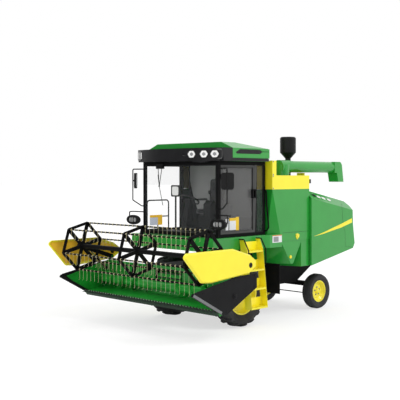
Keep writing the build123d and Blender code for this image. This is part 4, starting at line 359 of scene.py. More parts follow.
def panel(outline, centre, right, up, thick, hole=None):
    """A plate from an outline in its own plane, thick along right x up; a hole makes it a ring."""
    right, up = Vector(right).normalized(), Vector(up).normalized()
    out = right.cross(up)
    edges = (outline,) if hole is None else (outline, hole)
    verts = [tuple(Vector(centre) + right * a + up * b + out * depth)
             for depth in (0, thick) for edge in edges for a, b in edge]
    count = len(outline)
    if hole is None:
        return verts, capped(count)
    faces = []
    for i in range(count):
        j = (i + 1) % count
        for a, b in ((0, 1), (3, 2), (1, 3), (2, 0)):
            faces.append((a * count + i, a * count + j, b * count + j, b * count + i))
    return verts, faces


def side_plate(outline, side, x, thick, hole=None):
    """A plate in side view that starts at side * x and grows towards that side."""
    return panel(on_side(outline, side), (side * x, 0, 0), (0, side, 0), UP, thick,
                 hole and on_side(hole, side))


def side_plates(outline, x, thick, hole=None):
    """The same plate on both sides."""
    return [side_plate(outline, side, x, thick, hole) for side in SIDES]


def side_lathes(profile, x, y, z, steps):
    """The same turned part on both sides, its profile running outwards from x."""
    return [lathe(profile, (side * x, y + AXLE_Y, z), (side, 0, 0), steps) for side in SIDES]


def side_spots(x, places):
    """Points on both sides from side-view places."""
    return [(side * x, y, z) for side in SIDES for y, z in on_side(places)]


# ---- pieces
def shown(name, data):
    """A new object of the scene that holds the given data."""
    made = bpy.data.objects.new(name, data)
    scene.collection.objects.link(made)
    return made


def baked(holder):
    """The plain mesh that an object's modifiers give."""
    return bpy.data.meshes.new_from_object(holder.evaluated_get(bpy.context.evaluated_depsgraph_get()))


def piece(name, solids, material, body="chassis", bevel=0.0, smooth=False):
    """One object from closed solids, its normals outwards, its edges eased, riding on a body."""
    mesh = bpy.data.meshes.new(name)
    work = bmesh.new()
    for verts, faces in solids:
        made = [work.verts.new(v) for v in verts]
        for face in faces:
            work.faces.new([made[i] for i in face])
    bmesh.ops.remove_doubles(work, verts=work.verts, dist=1e-6)
    bmesh.ops.recalc_face_normals(work, faces=work.faces)
    work.to_mesh(mesh)
    work.free()
    mesh.materials.append(material)
    if smooth:
        mesh.shade_smooth()
        mesh.set_sharp_from_angle(angle=radians(35))
    made = shown(name, mesh)
    if bevel:
        eased = made.modifiers.new("eased_edges", "BEVEL")
        eased.width, eased.segments, eased.limit_method = bevel, 2, "ANGLE"
        eased.angle_limit = radians(30)
    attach(made, body)
    return made


def grown(name, points, tree, settings, material, body):
    """A piece made by a geometry tree on a few points; the tree's inputs are set by their identifiers."""
    seed = bpy.data.meshes.new(name + "_seed")
    seed.from_pydata([tuple(p) for p in points], [], [])
    holder = shown(name + "_seed", seed)
    maker = holder.modifiers.new("maker", "NODES")
    maker.node_group = tree
    sockets = {item.name: item.identifier for item in tree.interface.items_tree if item.in_out == "INPUT"}
    for key, value in {**settings, "Material": material}.items():
        maker[sockets[key]] = value
    bpy.context.view_layer.update()
    mesh = baked(holder)
    mesh.name = name
    bpy.data.objects.remove(holder)
    mesh.materials.clear()
    mesh.materials.append(material)
    made = shown(name, mesh)
    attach(made, body)


# ---- geometry trees for what repeats
# the turn that lays an upright shape along x
LAID = (0.0, pi / 2, 0.0)


def new_tree(name, **inputs):
    """An empty geometry tree with named inputs at their start values; returns it with their sockets."""
    tree = bpy.data.node_groups.new(name, "GeometryNodeTree")
    tree.interface.new_socket("Geometry", in_out="INPUT", socket_type="NodeSocketGeometry")
    for label, value in inputs.items():
        kind = "NodeSocketInt" if isinstance(value, int) else "NodeSocketFloat"
        tree.interface.new_socket(label, in_out="INPUT", socket_type=kind).default_value = value
    tree.interface.new_socket("Material", in_out="INPUT", socket_type="NodeSocketMaterial")
    tree.interface.new_socket("Geometry", in_out="OUTPUT", socket_type="NodeSocketGeometry")
    return tree, add(tree, "NodeGroupInput").outputs


def in_row(tree, given, shape):
    """A row of a shape along x, Count of them and Pitch apart."""
    step = add(tree, "ShaderNodeCombineXYZ", {"X": given["Pitch"]})
    line = add(tree, "GeometryNodeMeshLine", {"Count": given["Count"], "Offset": step}, mode="OFFSET")
    return add(tree, "GeometryNodeInstanceOnPoints", {"Points": line, "Instance": shape})


def close_tree(tree, given, shape):
    """Ends a tree: the shape on each seed point, made real and given its material."""
    placed = add(tree, "GeometryNodeInstanceOnPoints", {"Points": given["Geometry"], "Instance": shape})
    real = add(tree, "GeometryNodeRealizeInstances", {"Geometry": placed})
    dressed = add(tree, "GeometryNodeSetMaterial", {"Geometry": real, "Material": given["Material"]})
    add(tree, "NodeGroupOutput", {"Geometry": dressed})
    return tree


def bolt_tree():
    """Hexagon-headed bolts with washers, their axis along x."""
    tree, given = new_tree("hex_bolts", Head=0.012, Height=0.008)
    washer_r = add(tree, "ShaderNodeMath", {0: given["Head"], 1: 1.35}, operation="MULTIPLY")
    washer_h = add(tree, "ShaderNodeMath", {0: given["Height"], 1: 0.6}, operation="MULTIPLY")
    head = add(tree, "GeometryNodeMeshCylinder",
               {"Vertices": 6, "Radius": given["Head"], "Depth": given["Height"]})
    lift = add(tree, "ShaderNodeCombineXYZ", {"Z": washer_h})
    raised = add(tree, "GeometryNodeTransform", {"Geometry": head, "Translation": lift})
    washer = add(tree, "GeometryNodeMeshCylinder", {"Vertices": 14, "Radius": washer_r, "Depth": washer_h})
    both = add(tree, "GeometryNodeJoinGeometry")
    tree.links.new(raised.outputs[0], both.inputs[0])
    tree.links.new(washer.outputs[0], both.inputs[0])
    laid = add(tree, "GeometryNodeTransform", {"Geometry": both, "Rotation": LAID})
    return close_tree(tree, given, laid)


BOLTS = bolt_tree()


def bolts(name, points, head, height, material, body):
    """Bolts at points, along x; they stand proud on both sides of the point, so either side fits."""
    grown(name, points, BOLTS, {"Head": head, "Height": height}, material, body)


def rivet_tree():
    """A row of low domed rivets along x from each seed point."""
    tree, given = new_tree("guard_rivets", Count=48, Pitch=0.0762, Radius=0.01)
    dome = add(tree, "GeometryNodeMeshUVSphere", {"Segments": 8, "Rings": 6, "Radius": given["Radius"]})
    low = add(tree, "GeometryNodeTransform", {"Geometry": dome, "Scale": (1.0, 1.0, 0.6)})
    return close_tree(tree, given, in_row(tree, given, low))


def knife_tree():
    """A row of triangular knife sections along x from each seed point."""
    tree, given = new_tree("knife_sections", Count=48, Pitch=0.0762, Reach=0.06)
    half = add(tree, "ShaderNodeMath", {0: given["Pitch"], 1: 0.5}, operation="MULTIPLY")
    cone = add(tree, "GeometryNodeMeshCone",
               {"Vertices": 4, "Radius Top": 0.006, "Radius Bottom": half, "Depth": given["Reach"]})
    flat = add(tree, "GeometryNodeTransform",
               {"Geometry": cone, "Scale": (1.0, 1.0, 0.06), "Rotation": (pi / 2, 0.0, 0.0)})
    return close_tree(tree, given, in_row(tree, given, flat))


def slat_tree():
    """Slats round a drum that lies along x, one for each step of the circle."""
    tree, given = new_tree("drum_slats", Slats=8, Drum=0.10, Length=0.64, Thickness=0.022)
    ring = add(tree, "GeometryNodeMeshCircle", {"Vertices": given["Slats"], "Radius": given["Drum"]})
    upright = add(tree, "GeometryNodeTransform", {"Geometry": ring, "Rotation": LAID})
    size = add(tree, "ShaderNodeCombineXYZ",
               {"X": given["Length"], "Y": given["Thickness"], "Z": given["Thickness"]})
    slat = add(tree, "GeometryNodeMeshCube", {"Size": size})
    round_drum = add(tree, "GeometryNodeInstanceOnPoints", {"Points": upright, "Instance": slat})
    return close_tree(tree, given, round_drum)


def tine_tree():
    """A row of spring tines along x: a coil round the bat, a straight leg and a hooked tip."""
    tree, given = new_tree("reel_tines", Count=28, Pitch=0.12, Wire=0.0019, Leg=0.180, Hook=0.026,
                           Coil=0.0175)
    drop = add(tree, "ShaderNodeMath", {0: given["Leg"], 1: -1.0}, operation="MULTIPLY")
    lower = add(tree, "ShaderNodeMath", {0: drop, 1: given["Hook"]}, operation="SUBTRACT")
    forward = add(tree, "ShaderNodeMath", {0: given["Hook"], 1: -0.9}, operation="MULTIPLY")
    leg_end = add(tree, "ShaderNodeCombineXYZ", {"Z": drop})
    bend = add(tree, "ShaderNodeCombineXYZ", {"Z": lower})
    tip_end = add(tree, "ShaderNodeCombineXYZ", {"Y": forward, "Z": lower})
    leg = add(tree, "GeometryNodeCurvePrimitiveLine", {"End": leg_end})
    tip = add(tree, "GeometryNodeCurveQuadraticBezier",
              {"Resolution": 4, "Start": leg_end, "Middle": bend, "End": tip_end})
    coil = add(tree, "GeometryNodeCurveSpiral", {"Resolution": 9, "Rotations": 3.0, "Height": 0.018,
                                                 "Start Radius": given["Coil"], "End Radius": given["Coil"]})
    turned = add(tree, "GeometryNodeTransform", {"Geometry": coil, "Rotation": LAID})
    lines = add(tree, "GeometryNodeJoinGeometry")
    for part in (leg, tip, turned):
        tree.links.new(part.outputs[0], lines.inputs[0])
    ring = add(tree, "GeometryNodeCurvePrimitiveCircle", {"Resolution": 6, "Radius": given["Wire"]})
    wire = add(tree, "GeometryNodeCurveToMesh", {"Curve": lines, "Profile Curve": ring, "Fill Caps": True})
    return close_tree(tree, given, in_row(tree, given, wire))


# ---- hood: stripe, seams, vents
# the stripe starts as a point low on the hood and widens to its rear edge
STRIPE = ((1.97, 1.652), (2.335, 1.722), (2.647, 1.798), (2.968, 1.872), (3.392, 1.982),
          (3.400, 1.888), (2.968, 1.791), (2.647, 1.743), (2.335, 1.692))
STRIPE_THICK = 0.0015
HOOD_SEAM = ((3.00, 2.32), (3.03, 2.08), (3.05, 1.87), (3.13, 1.70), (3.143, 1.37), (3.385, 1.342))
# the fold line of the tank's lower band, drawn as a thin line of painted shade
TANK_FOLD = ((1.02, 1.772), (1.895, 1.772))
SEAM_W = 0.006
SEAM_THICK = 0.0012
piece("hood_stripes", side_plates(STRIPE, HOOD_X - SUNK, STRIPE_THICK + SUNK), yellow_enamel)
dark_seams = (side_plates(band(HOOD_SEAM, SEAM_W), HOOD_X - SUNK, SEAM_THICK)
              + side_plates(band(TANK_FOLD, SEAM_W), TANK_X - SUNK, SEAM_THICK))
piece("panel_seams", dark_seams, seam_and_shade_black)

HOOD_TOP = ((1.910, 2.625), (3.330, 2.355))
HOOD_SHOULDER = 0.170
VENT_Y = (2.10, 2.27, 2.44, 2.64)
VENT_SIZE = (0.072, 0.038)
VENT_POWER = 2.4
VENT_RIM = 0.010
RIB_PITCH = 0.019
fall = (HOOD_TOP[1][1] - HOOD_TOP[0][1]) / (HOOD_TOP[1][0] - HOOD_TOP[0][0])
vent_rims, vent_windows, vent_slots = [], [], []
for side in SIDES:
    for number, y in enumerate(VENT_Y):
        z = HOOD_TOP[0][1] + fall * (y - HOOD_TOP[0][0]) - HOOD_SHOULDER / 2
        centre = Vector((side * (HOOD_X - HOOD_SHOULDER / 2), y + AXLE_Y, z))
        right = Vector((0, side, side * fall)).normalized()
        up = Vector((side, 0, 1)).cross(right).normalized()
        out = right.cross(up)
        foot = centre - out * 0.002
        vent_rims.append(panel(oval(VENT_SIZE, VENT_POWER, more=VENT_RIM), foot, right, up, 0.007,
                               oval(VENT_SIZE, VENT_POWER)))
        insert = panel(oval(VENT_SIZE, VENT_POWER, more=0.001), foot, right, up, 0.0045)
        if number > 0:
            vent_windows.append(insert)
            continue
        # the front vent is dark and has three ribs
        vent_slots.append(insert)
        for step in (-1, 0, 1):
            rib = oval((VENT_SIZE[0] * (0.9 - 0.15 * abs(step)), 0.0035), 3.0, 16)
            vent_slots.append(panel(rib, centre + up * (step * RIB_PITCH) - out * 0.001, right, up, 0.0085))
piece("hood_vent_rims", vent_rims, green_enamel, smooth=True)
piece("hood_vent_windows", vent_windows, white_abs)
piece("hood_vent_dark", vent_slots, black_abs)

# ---- tank: caps, knobs, bolts, lights
CAP = (1.50, 1.685)
CAP_X = TANK_X - 0.002
CAP_R = 0.052
KNOB = (1.28, 1.27)
# sampling caps with three finger lobes round the rim, and drain knobs
caps = side_lathes([(0, CAP_R), (0.012, 0.053), (0.018, 0.049), (0.018, 0.031), (0.027, 0.029),
                    (0.030, 0.022)], CAP_X, *CAP, 24)
for turn in (20, 140, 260):
    angle = radians(turn)
    caps += side_lathes([(0, 0.017), (0.014, 0.016), (0.018, 0.012)], CAP_X,
                        CAP[0] + CAP_R * cos(angle), CAP[1] + CAP_R * sin(angle), 12)
caps += side_lathes([(0, 0.034), (0.018, 0.035), (0.024, 0.030), (0.024, 0.014), (0.034, 0.012)],
                    TANK_X - 0.012, *KNOB, 20)
piece("caps_and_drain_knobs", caps, yellow_enamel, smooth=True)

FRONT_BOX_BOLTS = ((0.726, 3.205), (0.726, 2.948), (0.726, 2.916), (0.726, 2.672))
bolts("front_box_bolts", side_spots(TANK_X + 0.001, FRONT_BOX_BOLTS), 0.011, 0.006, ground_steel, "chassis")

# work light on the tank's rear corner, looking back over the hood, and its stem
CORNER_LIGHT = ((1.170, 1.935, 2.765), (1.212, 1.975, 2.850))
CORNER_STEM = ((1.181, 1.907, 2.795), (1.201, 1.940, 2.815))
lights = [slab((side * x0, y0 + AXLE_Y, z0), (side * x1, y1 + AXLE_Y, z1))
          for side in SIDES for (x0, y0, z0), (x1, y1, z1) in (CORNER_LIGHT, CORNER_STEM)]
piece("tank_corner_lights", lights, black_abs, bevel=0.006)

# ---- roof: recess panels, drip band, lamps
RECESS = ((-0.366, 3.370), (-0.240, 3.428), (0.328, 3.424), (0.418, 3.394), (0.596, 3.392), (0.596, 3.388),
          (0.416, 3.385), (0.348, 3.344), (-0.328, 3.342))
DRIP = rect((-0.450, 3.202), (0.628, 3.258))
recess_panels = side_plates(RECESS, ROOF_X - 0.015, 0.004)
# long louvres across the recess
for z in (3.362, 3.384, 3.406):
    recess_panels += side_plates(rect((-0.25, z - 0.003), (0.30, z + 0.003)), ROOF_X - 0.012, 0.006)
piece("roof_inlet_panels", recess_panels, smooth_abs)
piece("roof_drip_bands", side_plates(DRIP, ROOF_X - 0.031, 0.020), smooth_abs, bevel=0.002)

FASCIA_Y = -0.720
FASCIA_BOW = 0.180
BOW_R = (ROOF_X ** 2 + FASCIA_BOW ** 2) / (2 * FASCIA_BOW)
LAMP_X = (0.530, 0.810, 1.040)
LAMP_Z = 3.330
LAMP_SIZE = (0.092, 0.074)
LAMP_PROUD = 0.016
PETALS = 6
PETAL_STEPS = 48


def on_bow(outline, x, proud, thick, hole=None, z=LAMP_Z):
    """A plate on the bowed fascia, its back face some way proud of it."""
    turn = asin(x / BOW_R)
    out = Vector((sin(turn), -cos(turn), 0))
    y = FASCIA_Y - FASCIA_BOW + BOW_R - sqrt(BOW_R ** 2 - x ** 2) + AXLE_Y
    along = (cos(turn), sin(turn), 0)
    return panel(outline, Vector((x, y, z)) + out * proud, along, UP, thick, hole)


def petals(scale, dip=0.0):
    """An oval outline in a lamp's proportions whose edge dips between its petals."""
    points = []
    for step in range(PETAL_STEPS):
        turn = tau * step / PETAL_STEPS
        reach = scale + dip * cos(PETALS * turn)
        points.append((LAMP_SIZE[0] * reach * cos(turn), LAMP_SIZE[1] * reach * sin(turn)))
    return points


bright, cores, bezels = [], [], []
for x in LAMP_X:
    bright.append(on_bow(petals(0.90, 0.05), x, LAMP_PROUD - 0.001, 0.005, petals(0.42, -0.07)))
    cores.append(on_bow(petals(0.44), x, LAMP_PROUD - 0.001, 0.003))
    cores.append(on_bow(petals(0.16), x, LAMP_PROUD, 0.006))
    bezels.append(on_bow(petals(1.05), x, LAMP_PROUD - 0.006, 0.010, petals(0.96)))
# three bright bars at the right corner
for x in (-1.145, -1.083, -1.021):
    bright.append(on_bow(oval((0.0120, 0.068), 6.0, 20), x, 0.0075, 0.004))
piece("roof_lamp_petals", bright, white_abs, bevel=0.0008)
piece("roof_lamp_cores", cores, core_grey)
piece("roof_lamp_bezels", bezels, black_abs, bevel=0.0012)
stud = on_bow(oval((0.030, 0.010), 3.0, 20), 0.335, 0.012, 0.007, z=LAMP_Z - 0.014)
piece("fascia_stud", [stud], hard_chrome, bevel=0.001)
# black glass pods at both corners
POD_X = 1.118
pods = [on_bow(oval((0.078, 0.100), 5.0), side * POD_X, -0.004, 0.011) for side in SIDES]
piece("fascia_pod_covers", pods, gloss_black, bevel=0.003)

# work lamps beside the cab: two grey bowls of painted reflection behind white bars of painted highlight, in a
# black rim
WORK_LAMP = (1.200, -0.856, 2.020)
WORK_SIZE = (0.200, 0.098)
WORK_HOLE = (0.150, 0.062)
LENS_HIGHLIGHT_PITCH = 0.026
LENS_HALF = (0.130, 0.046)
work_rims, bowls, lens_highlights = [], [], []
for side in SIDES:
    centre = Vector((side * WORK_LAMP[0], WORK_LAMP[1] + AXLE_Y, WORK_LAMP[2]))
    work_rims.append(panel(oval(WORK_SIZE, steps=36, more=0.001), centre + Vector((0, 0.004, 0)), ACROSS, UP,
                           0.014, oval(WORK_HOLE, steps=36)))
    for dx, radius in ((-0.072, 0.050), (0.060, 0.046)):
        profile = [(0, radius), (0.006, radius * 0.96), (0.0075, radius * 0.6), (0.008, radius * 0.2)]
        bowls.append(lathe(profile, centre + Vector((dx, -0.001, 0)), (0, -1, 0), 24))
    for step in (-4, -3, -1, 0, 2, 3):
        dx = step * LENS_HIGHLIGHT_PITCH
        half = LENS_HALF[1] * sqrt(1 - (dx / LENS_HALF[0]) ** 2)
        lens_highlights.append(panel(oval((0.0032, half), 4.0, 12), centre + Vector((dx, -0.0075, 0)), ACROSS, UP,
                               0.003))
piece("work_lamp_rims", work_rims, black_abs, bevel=0.002)
piece("work_lamp_bowls", bowls, reflection_grey, smooth=True)
piece("work_lamp_painted_highlights", lens_highlights, white_abs)

# bright back plate of the driver's monitor, in its black rim
MONITOR = (-0.240, -0.560 + AXLE_Y, 2.620)
right = Vector((0.94, 0.34, 0)).normalized()
centre = Vector(MONITOR) + right.cross(Vector(UP)) * 0.0195
piece("monitor_back_plate", [panel(oval((0.070, 0.088), 6.0, 24), centre, right, UP, 0.003)], white_abs,
      bevel=0.001)

# ---- mirrors: silvered glass in black rims
MIRROR = (1.296, -0.702, 2.820)
MIRROR_SIZE = (0.100, 0.140)
mirror_hole = oval(MIRROR_SIZE, 4.0, 36)
glasses, mirror_rims = [], []
for side in SIDES:
    right = Vector((-1, -side, 0)).normalized()
    out = right.cross(Vector(UP))
    face = Vector((side * MIRROR[0], MIRROR[1] + AXLE_Y, MIRROR[2])) + out * 0.0245
    glasses.append(panel(mirror_hole, face, right, UP, 0.0018))
    mirror_rims.append(panel(oval(MIRROR_SIZE, 4.2, 36, 0.0165), face, right, UP, 0.005, mirror_hole))
    mirror_rims.append(panel(oval(MIRROR_SIZE, 4.2, 36, 0.012), face - out * 0.0535, right, UP, 0.005,
                             oval(MIRROR_SIZE, 4.0, 36, -0.002)))
piece("mirror_glass", glasses, silvered_glass)
piece("mirror_rims", mirror_rims, black_abs, bevel=0.0015)

# ---- cab: lining, window rubbers, blank signs and plates
CAB_REAR_IN = 0.600 + AXLE_Y
# grey board on the rear wall; its outer edge slants down beside the driver's seat
LINING = ((-0.998, 2.820), (-0.900, 2.501), (-0.745, 2.140), (-0.501, 2.095), (0.998, 2.075), (0.998, 3.135),
          (-0.998, 3.135))
piece("cab_rear_lining", [prism(LINING, "y", CAB_REAR_IN - 0.008, CAB_REAR_IN - 0.004)], lining_board)
backing = slab((-0.999, CAB_REAR_IN - 0.0045, 1.792), (0.999, CAB_REAR_IN - 0.0005, 3.19))
piece("cab_rear_backing", [backing], trim_board)

QUARTER_X = 1.040
QUARTER = (0.402, 0.598)
# opaque panes painted with the darkened tank seen through the quarter glass
for label, glass, low, high in (("upper", tank_view_olive_glass, 2.652, 3.128), ("lower", tank_view_green_glass, 1.812, 2.648)):
    quarter = rect((QUARTER[0], low), (QUARTER[1], high))
    piece(f"quarter_panes_{label}", side_plates(quarter, QUARTER_X, 0.0035), glass)

RUBBER_X = 1.0490
RUBBER_DEPTH = 0.008
SCREEN_Y = -0.6915
outer, inner = frame_of((-0.592, 1.859), (0.291, 3.081), 0.016)
piece("door_window_rubber", [side_plate(outer, 1, 1.0395, RUBBER_DEPTH, inner)], skin_glass, "cab_door",
      bevel=0.002)
outer, inner = frame_of((-0.642, 1.808), (0.342, 3.132), 0.016)
rubbers = [side_plate(outer, -1, RUBBER_X, RUBBER_DEPTH, inner)]
outer, inner = frame_of((0.398, 1.808), (0.602, 3.132), 0.014)
rubbers += side_plates(outer, RUBBER_X, RUBBER_DEPTH, inner)
outer, inner = frame_of((-1.002, 1.808), (1.002, 3.132), 0.018)
rubbers.append(panel(outer, (0, SCREEN_Y + AXLE_Y, 0), ACROSS, UP, 0.0075, inner))
piece("cab_window_rubbers", rubbers, seal_rubber, bevel=0.002)

NEAR_SIGN_X = 1.0402
FAR_SIGN_X = -1.0438
SKIN_X = 1.0602
SKIN_THICK = 0.0022


def signs(name, x, material, body, *places):
    """Thin blank sheets that start at x and grow to the left, each from its low and high (y, z) corners."""
    piece(name, [side_plate(rect(low, high), 1, x, 0.0012) for low, high in places], material, body)


# blank instruction signs on the door's glass: white fields with yellow parts
signs("door_sign_white", NEAR_SIGN_X, sign_white, "cab_door",
      ((-0.475, 1.885), (-0.400, 2.100)), ((-0.370, 1.885), (-0.190, 2.060)))
signs("door_sign_yellow", NEAR_SIGN_X, sign_yellow, "cab_door",
      ((-0.370, 2.060), (-0.190, 2.115)), ((-0.190, 1.870), (-0.100, 2.130)))
# grey bonded glass over the door's frame, and over the post behind it
outer, inner = frame_of((-0.6355, 1.8155), (0.3365, 3.1245), 0.044)
piece("door_skin_glass", [side_plate(outer, 1, SKIN_X, SKIN_THICK, inner)], skin_glass, "cab_door")
POST_SKIN = ((0.3415, 1.806), (0.352, 1.806), (0.399, 3.134), (0.3415, 3.134))
piece("post_skin_glass", [side_plate(POST_SKIN, 1, SKIN_X, SKIN_THICK)], skin_glass)
# signs on the inner face of the right window, seen through the cab, glowing with painted light
signs("far_sign_white", FAR_SIGN_X, glow_white_sign, "chassis", ((-0.535, 1.895), (-0.31, 2.055)))
signs("far_sign_yellow", FAR_SIGN_X, glow_yellow_sign, "chassis",
      ((-0.535, 2.055), (-0.185, 2.105)), ((-0.31, 1.895), (-0.185, 2.055)))

# blank data plate at the end of the side beam: white sheet, orange head, grey field
for label, sheet, x, thick, low, high in (
        ("white", sign_white, TANK_X + 0.001, 0.0016, (0.700, 1.590), (0.995, 1.722)),
        ("orange", sign_orange, TANK_X + 0.001, 0.0016, (0.700, 1.722), (0.995, 1.738)),
        ("grey", core_grey, TANK_X + 0.0026, 0.0006, (0.735, 1.605), (0.890, 1.706))):
    piece(f"blank_plates_{label}", side_plates(rect(low, high), x, thick), sheet)

# ---- wheels: hub caps, bolts, hand holes
WHEELBASE = 2.795
# where, axle's y, half track, tyre radius, face of the disc, its radius, circle and count of the bolts,
# circle and half size of the hand holes
AXLES = (
    ("front", AXLE_Y, 0.920, 0.632, 0.0255, 0.328, 0.095, 8, 0.255, (0.030, 0.020)),
    ("rear", AXLE_Y + WHEELBASE, 0.740, 0.380, 0.0218, 0.164, 0.086, 5, 0.140, (0.015, 0.010)),
)
# the disc slopes from its flat middle to its edge
FLAT_R = 0.130
EDGE_FACE = 0.016
HUB_CAP = ((0, 0.062), (0.010, 0.062), (0.014, 0.058), (0.030, 0.052), (0.040, 0.040), (0.043, 0.020))
for where, y, track, radius, face, disc_r, circle, count, hole_circle, hole_size in AXLES:
    for side, label in ((1, "left"), (-1, "right")):
        body = f"wheel_{where}_{label}"
        disc_x = side * (track + face)
        turns = [tau * (s + 0.3) / count for s in range(count)]
        spots = [(disc_x + side * 0.002, y + circle * cos(turn), radius + circle * sin(turn))
                 for turn in turns]
        bolts(f"hub_bolts_{where}_{label}", spots, 0.013, 0.014, ground_steel, body)
        cap = lathe(HUB_CAP, (disc_x - side * 0.001, y, radius), (side, 0, 0))
        piece(f"hub_cap_{where}_{label}", [cap], yellow_enamel, body, smooth=True)
        depth = face - (hole_circle - FLAT_R) * (face - EDGE_FACE) / (disc_r - FLAT_R)
        # hand holes as dark ovals on the disc: painted shade of the wheel's inside
        holes = []
        for degrees in (45, 135, 225, 315):
            c, s = cos(radians(degrees)), sin(radians(degrees))
            centre = (side * (track + depth - 0.003), y + hole_circle * c, radius + hole_circle * s)
            holes.append(panel(oval(hole_size, 2.6, 20), centre, (0, -side * s, side * c), (0, c, s), 0.0045))
        piece(f"hand_holes_{where}_{label}", holes, seam_and_shade_black, body)

# ---- reel shields: pivot covers and painted shade
SHIELD_HOLE = (-0.800, 1.325)
COVER = [(0, 0.050), (0.014, 0.050), (0.0185, 0.044), (0.0185, 0.020), (0.022, 0.016)]
piece("shield_pivot_covers", side_lathes(COVER, HEADER_X + 0.064, *SHIELD_HOLE, 24), black_abs, "reel_arms",
      smooth=True)
# golden painted shade on the shields' inner faces, held back from their folded edges
SHIELD_INNER = ((-2.385, 1.565), (-2.345, 1.596), (-1.265, 1.600), (-0.845, 1.478), (-0.685, 1.375),
                (-0.685, 1.315), (-0.850, 1.215), (-1.310, 1.182), (-1.790, 1.140), (-2.000, 1.157))
liners = [prism(on_side(SHIELD_INNER), "x", side * (HEADER_X + 0.0705), side * (HEADER_X + 0.0722))
          for side in SIDES]
piece("shield_inner_painted_shade", liners, shade_gold_enamel, "reel_arms")

# ---- deck: beam ends, flush with the tank's side
BEAM_IN = 1.1495
BEAM_OUT = TANK_X + 0.0015
beam_ends = [prism([(side * BEAM_IN, 0.44 + AXLE_Y), (side * BEAM_OUT, 0.62 + AXLE_Y),
                    (side * BEAM_OUT, 1.005 + AXLE_Y), (side * BEAM_IN, 1.005 + AXLE_Y)], "z", 1.495, 1.7502)
             for side in SIDES]
piece("deck_beam_ends", beam_ends, green_enamel, bevel=0.004)

# ---- header: painted highlight strips, bolts, knife, lip, drum
PLATE_X = HEADER_X + 0.020
# grey painted highlight along the end plates' bevelled fold
EDGE_STRIP = ((-2.196, 0.899), (-1.502, 0.5225), (-1.478, 0.566), (-2.168, 0.9405))
piece("end_plate_painted_highlights", side_plates(EDGE_STRIP, PLATE_X, 0.002), highlight_grey_enamel, "header", bevel=0.0008)
PLATE_BOLTS = ((-1.95, 0.93), (-1.70, 0.985), (-1.42, 1.04), (-1.15, 1.09), (-0.85, 1.115), (-0.62, 1.12),
               (-0.62, 0.93), (-0.85, 0.80), (-1.15, 0.665), (-1.36, 0.56))
bolts("end_plate_bolts", side_spots(PLATE_X + 0.001, PLATE_BOLTS), 0.010, 0.006, black_abs, "header")

KNIFE = (-1.570 + AXLE_Y, 0.575)
SECTIONS = 48
SECTION_PITCH = 0.0762
row_start = -SECTION_PITCH * (SECTIONS - 1) / 2
grown("knife_sections", [(row_start, KNIFE[0] - 0.050, KNIFE[1] + 0.004)], knife_tree(),
      {"Count": SECTIONS, "Pitch": SECTION_PITCH, "Reach": 0.060}, dull_steel, "header")
grown("guard_rivets", [(row_start, KNIFE[0] - 0.030, KNIFE[1] + 0.007),
                       (row_start + SECTION_PITCH / 2, KNIFE[0] + 0.012, KNIFE[1] + 0.004)], rivet_tree(),
      {"Count": SECTIONS - 1, "Pitch": SECTION_PITCH, "Radius": 0.0100}, pale_zinc, "header")
# dark lip sheet that wraps the trough's front lower edge: painted shade over green that lies in shade there
LIP = ((-1.5725, 0.577), (-1.5725, 0.5545), (-1.5268, 0.4842), (-1.515, 0.4842), (-1.170, 0.6045),
       (-1.170, 0.609), (-1.5240, 0.4890), (-1.5685, 0.5560), (-1.5685, 0.577))
lip_half = HEADER_X - 0.001
piece("trough_lip_painted_shade", [prism(on_side(LIP), "x", -lip_half, lip_half)], shade_green_enamel, "header")
# covers over the auger shaft's ends
AUGER = (-1.160, 0.800)
SHAFT_COVER = [(0, 0.050), (0.010, 0.050), (0.014, 0.046), (0.014, 0.028), (0.024, 0.026), (0.026, 0.022)]
piece("auger_shaft_covers", side_lathes(SHAFT_COVER, PLATE_X, *AUGER, 24), plate_enamel, "header",
      smooth=True)
# front drum of the feeder's conveyor, seen through the mouth in the trough's back
DRUM = (-0.850 + AXLE_Y, 0.935)
DRUM_HALF = 0.329
drum = lathe([(0, 0.05), (0.002, 0.115), (2 * DRUM_HALF - 0.002, 0.115), (2 * DRUM_HALF, 0.05)],
             (-DRUM_HALF, *DRUM))
piece("feeder_drum", [drum], trough_enamel, "header", smooth=True)
# slats in the dark green of painted shade
grown("feeder_slats", [(0, *DRUM)], slat_tree(), {"Slats": 8, "Drum": 0.118, "Length": 0.640},
      shade_green_enamel, "header")

# ---- reel: shaft, three spiders, six bats, tines
REEL = (-1.765 + AXLE_Y, 1.509)
REEL_R = 0.477
REEL_PHASE = 106
BATS = 6
REEL_HALF = HEADER_X - 0.130
STUB_HALF = HEADER_X - 0.067
SPIDER_X = REEL_HALF - 0.030
SPOKE_W = 0.074
SPIDER_RIM_W = 0.054
SPIDER_THICK = 0.030
TINES = 28
TINE_PITCH = 0.12


def bar(start, end, x, width):
    """A flat bar of a spider between two (y, z) places."""
    return prism(band([start, end], width), "x", x - SPIDER_THICK / 2, x + SPIDER_THICK / 2)


def shaft(y, z, half, radius, steps):
    """A round bar along x, its ends eased."""
    ease = radius * 0.12
    return lathe([(0, radius - ease), (ease, radius), (2 * half - ease, radius), (2 * half, radius - ease)],
                 (-half, y, z), steps=steps)


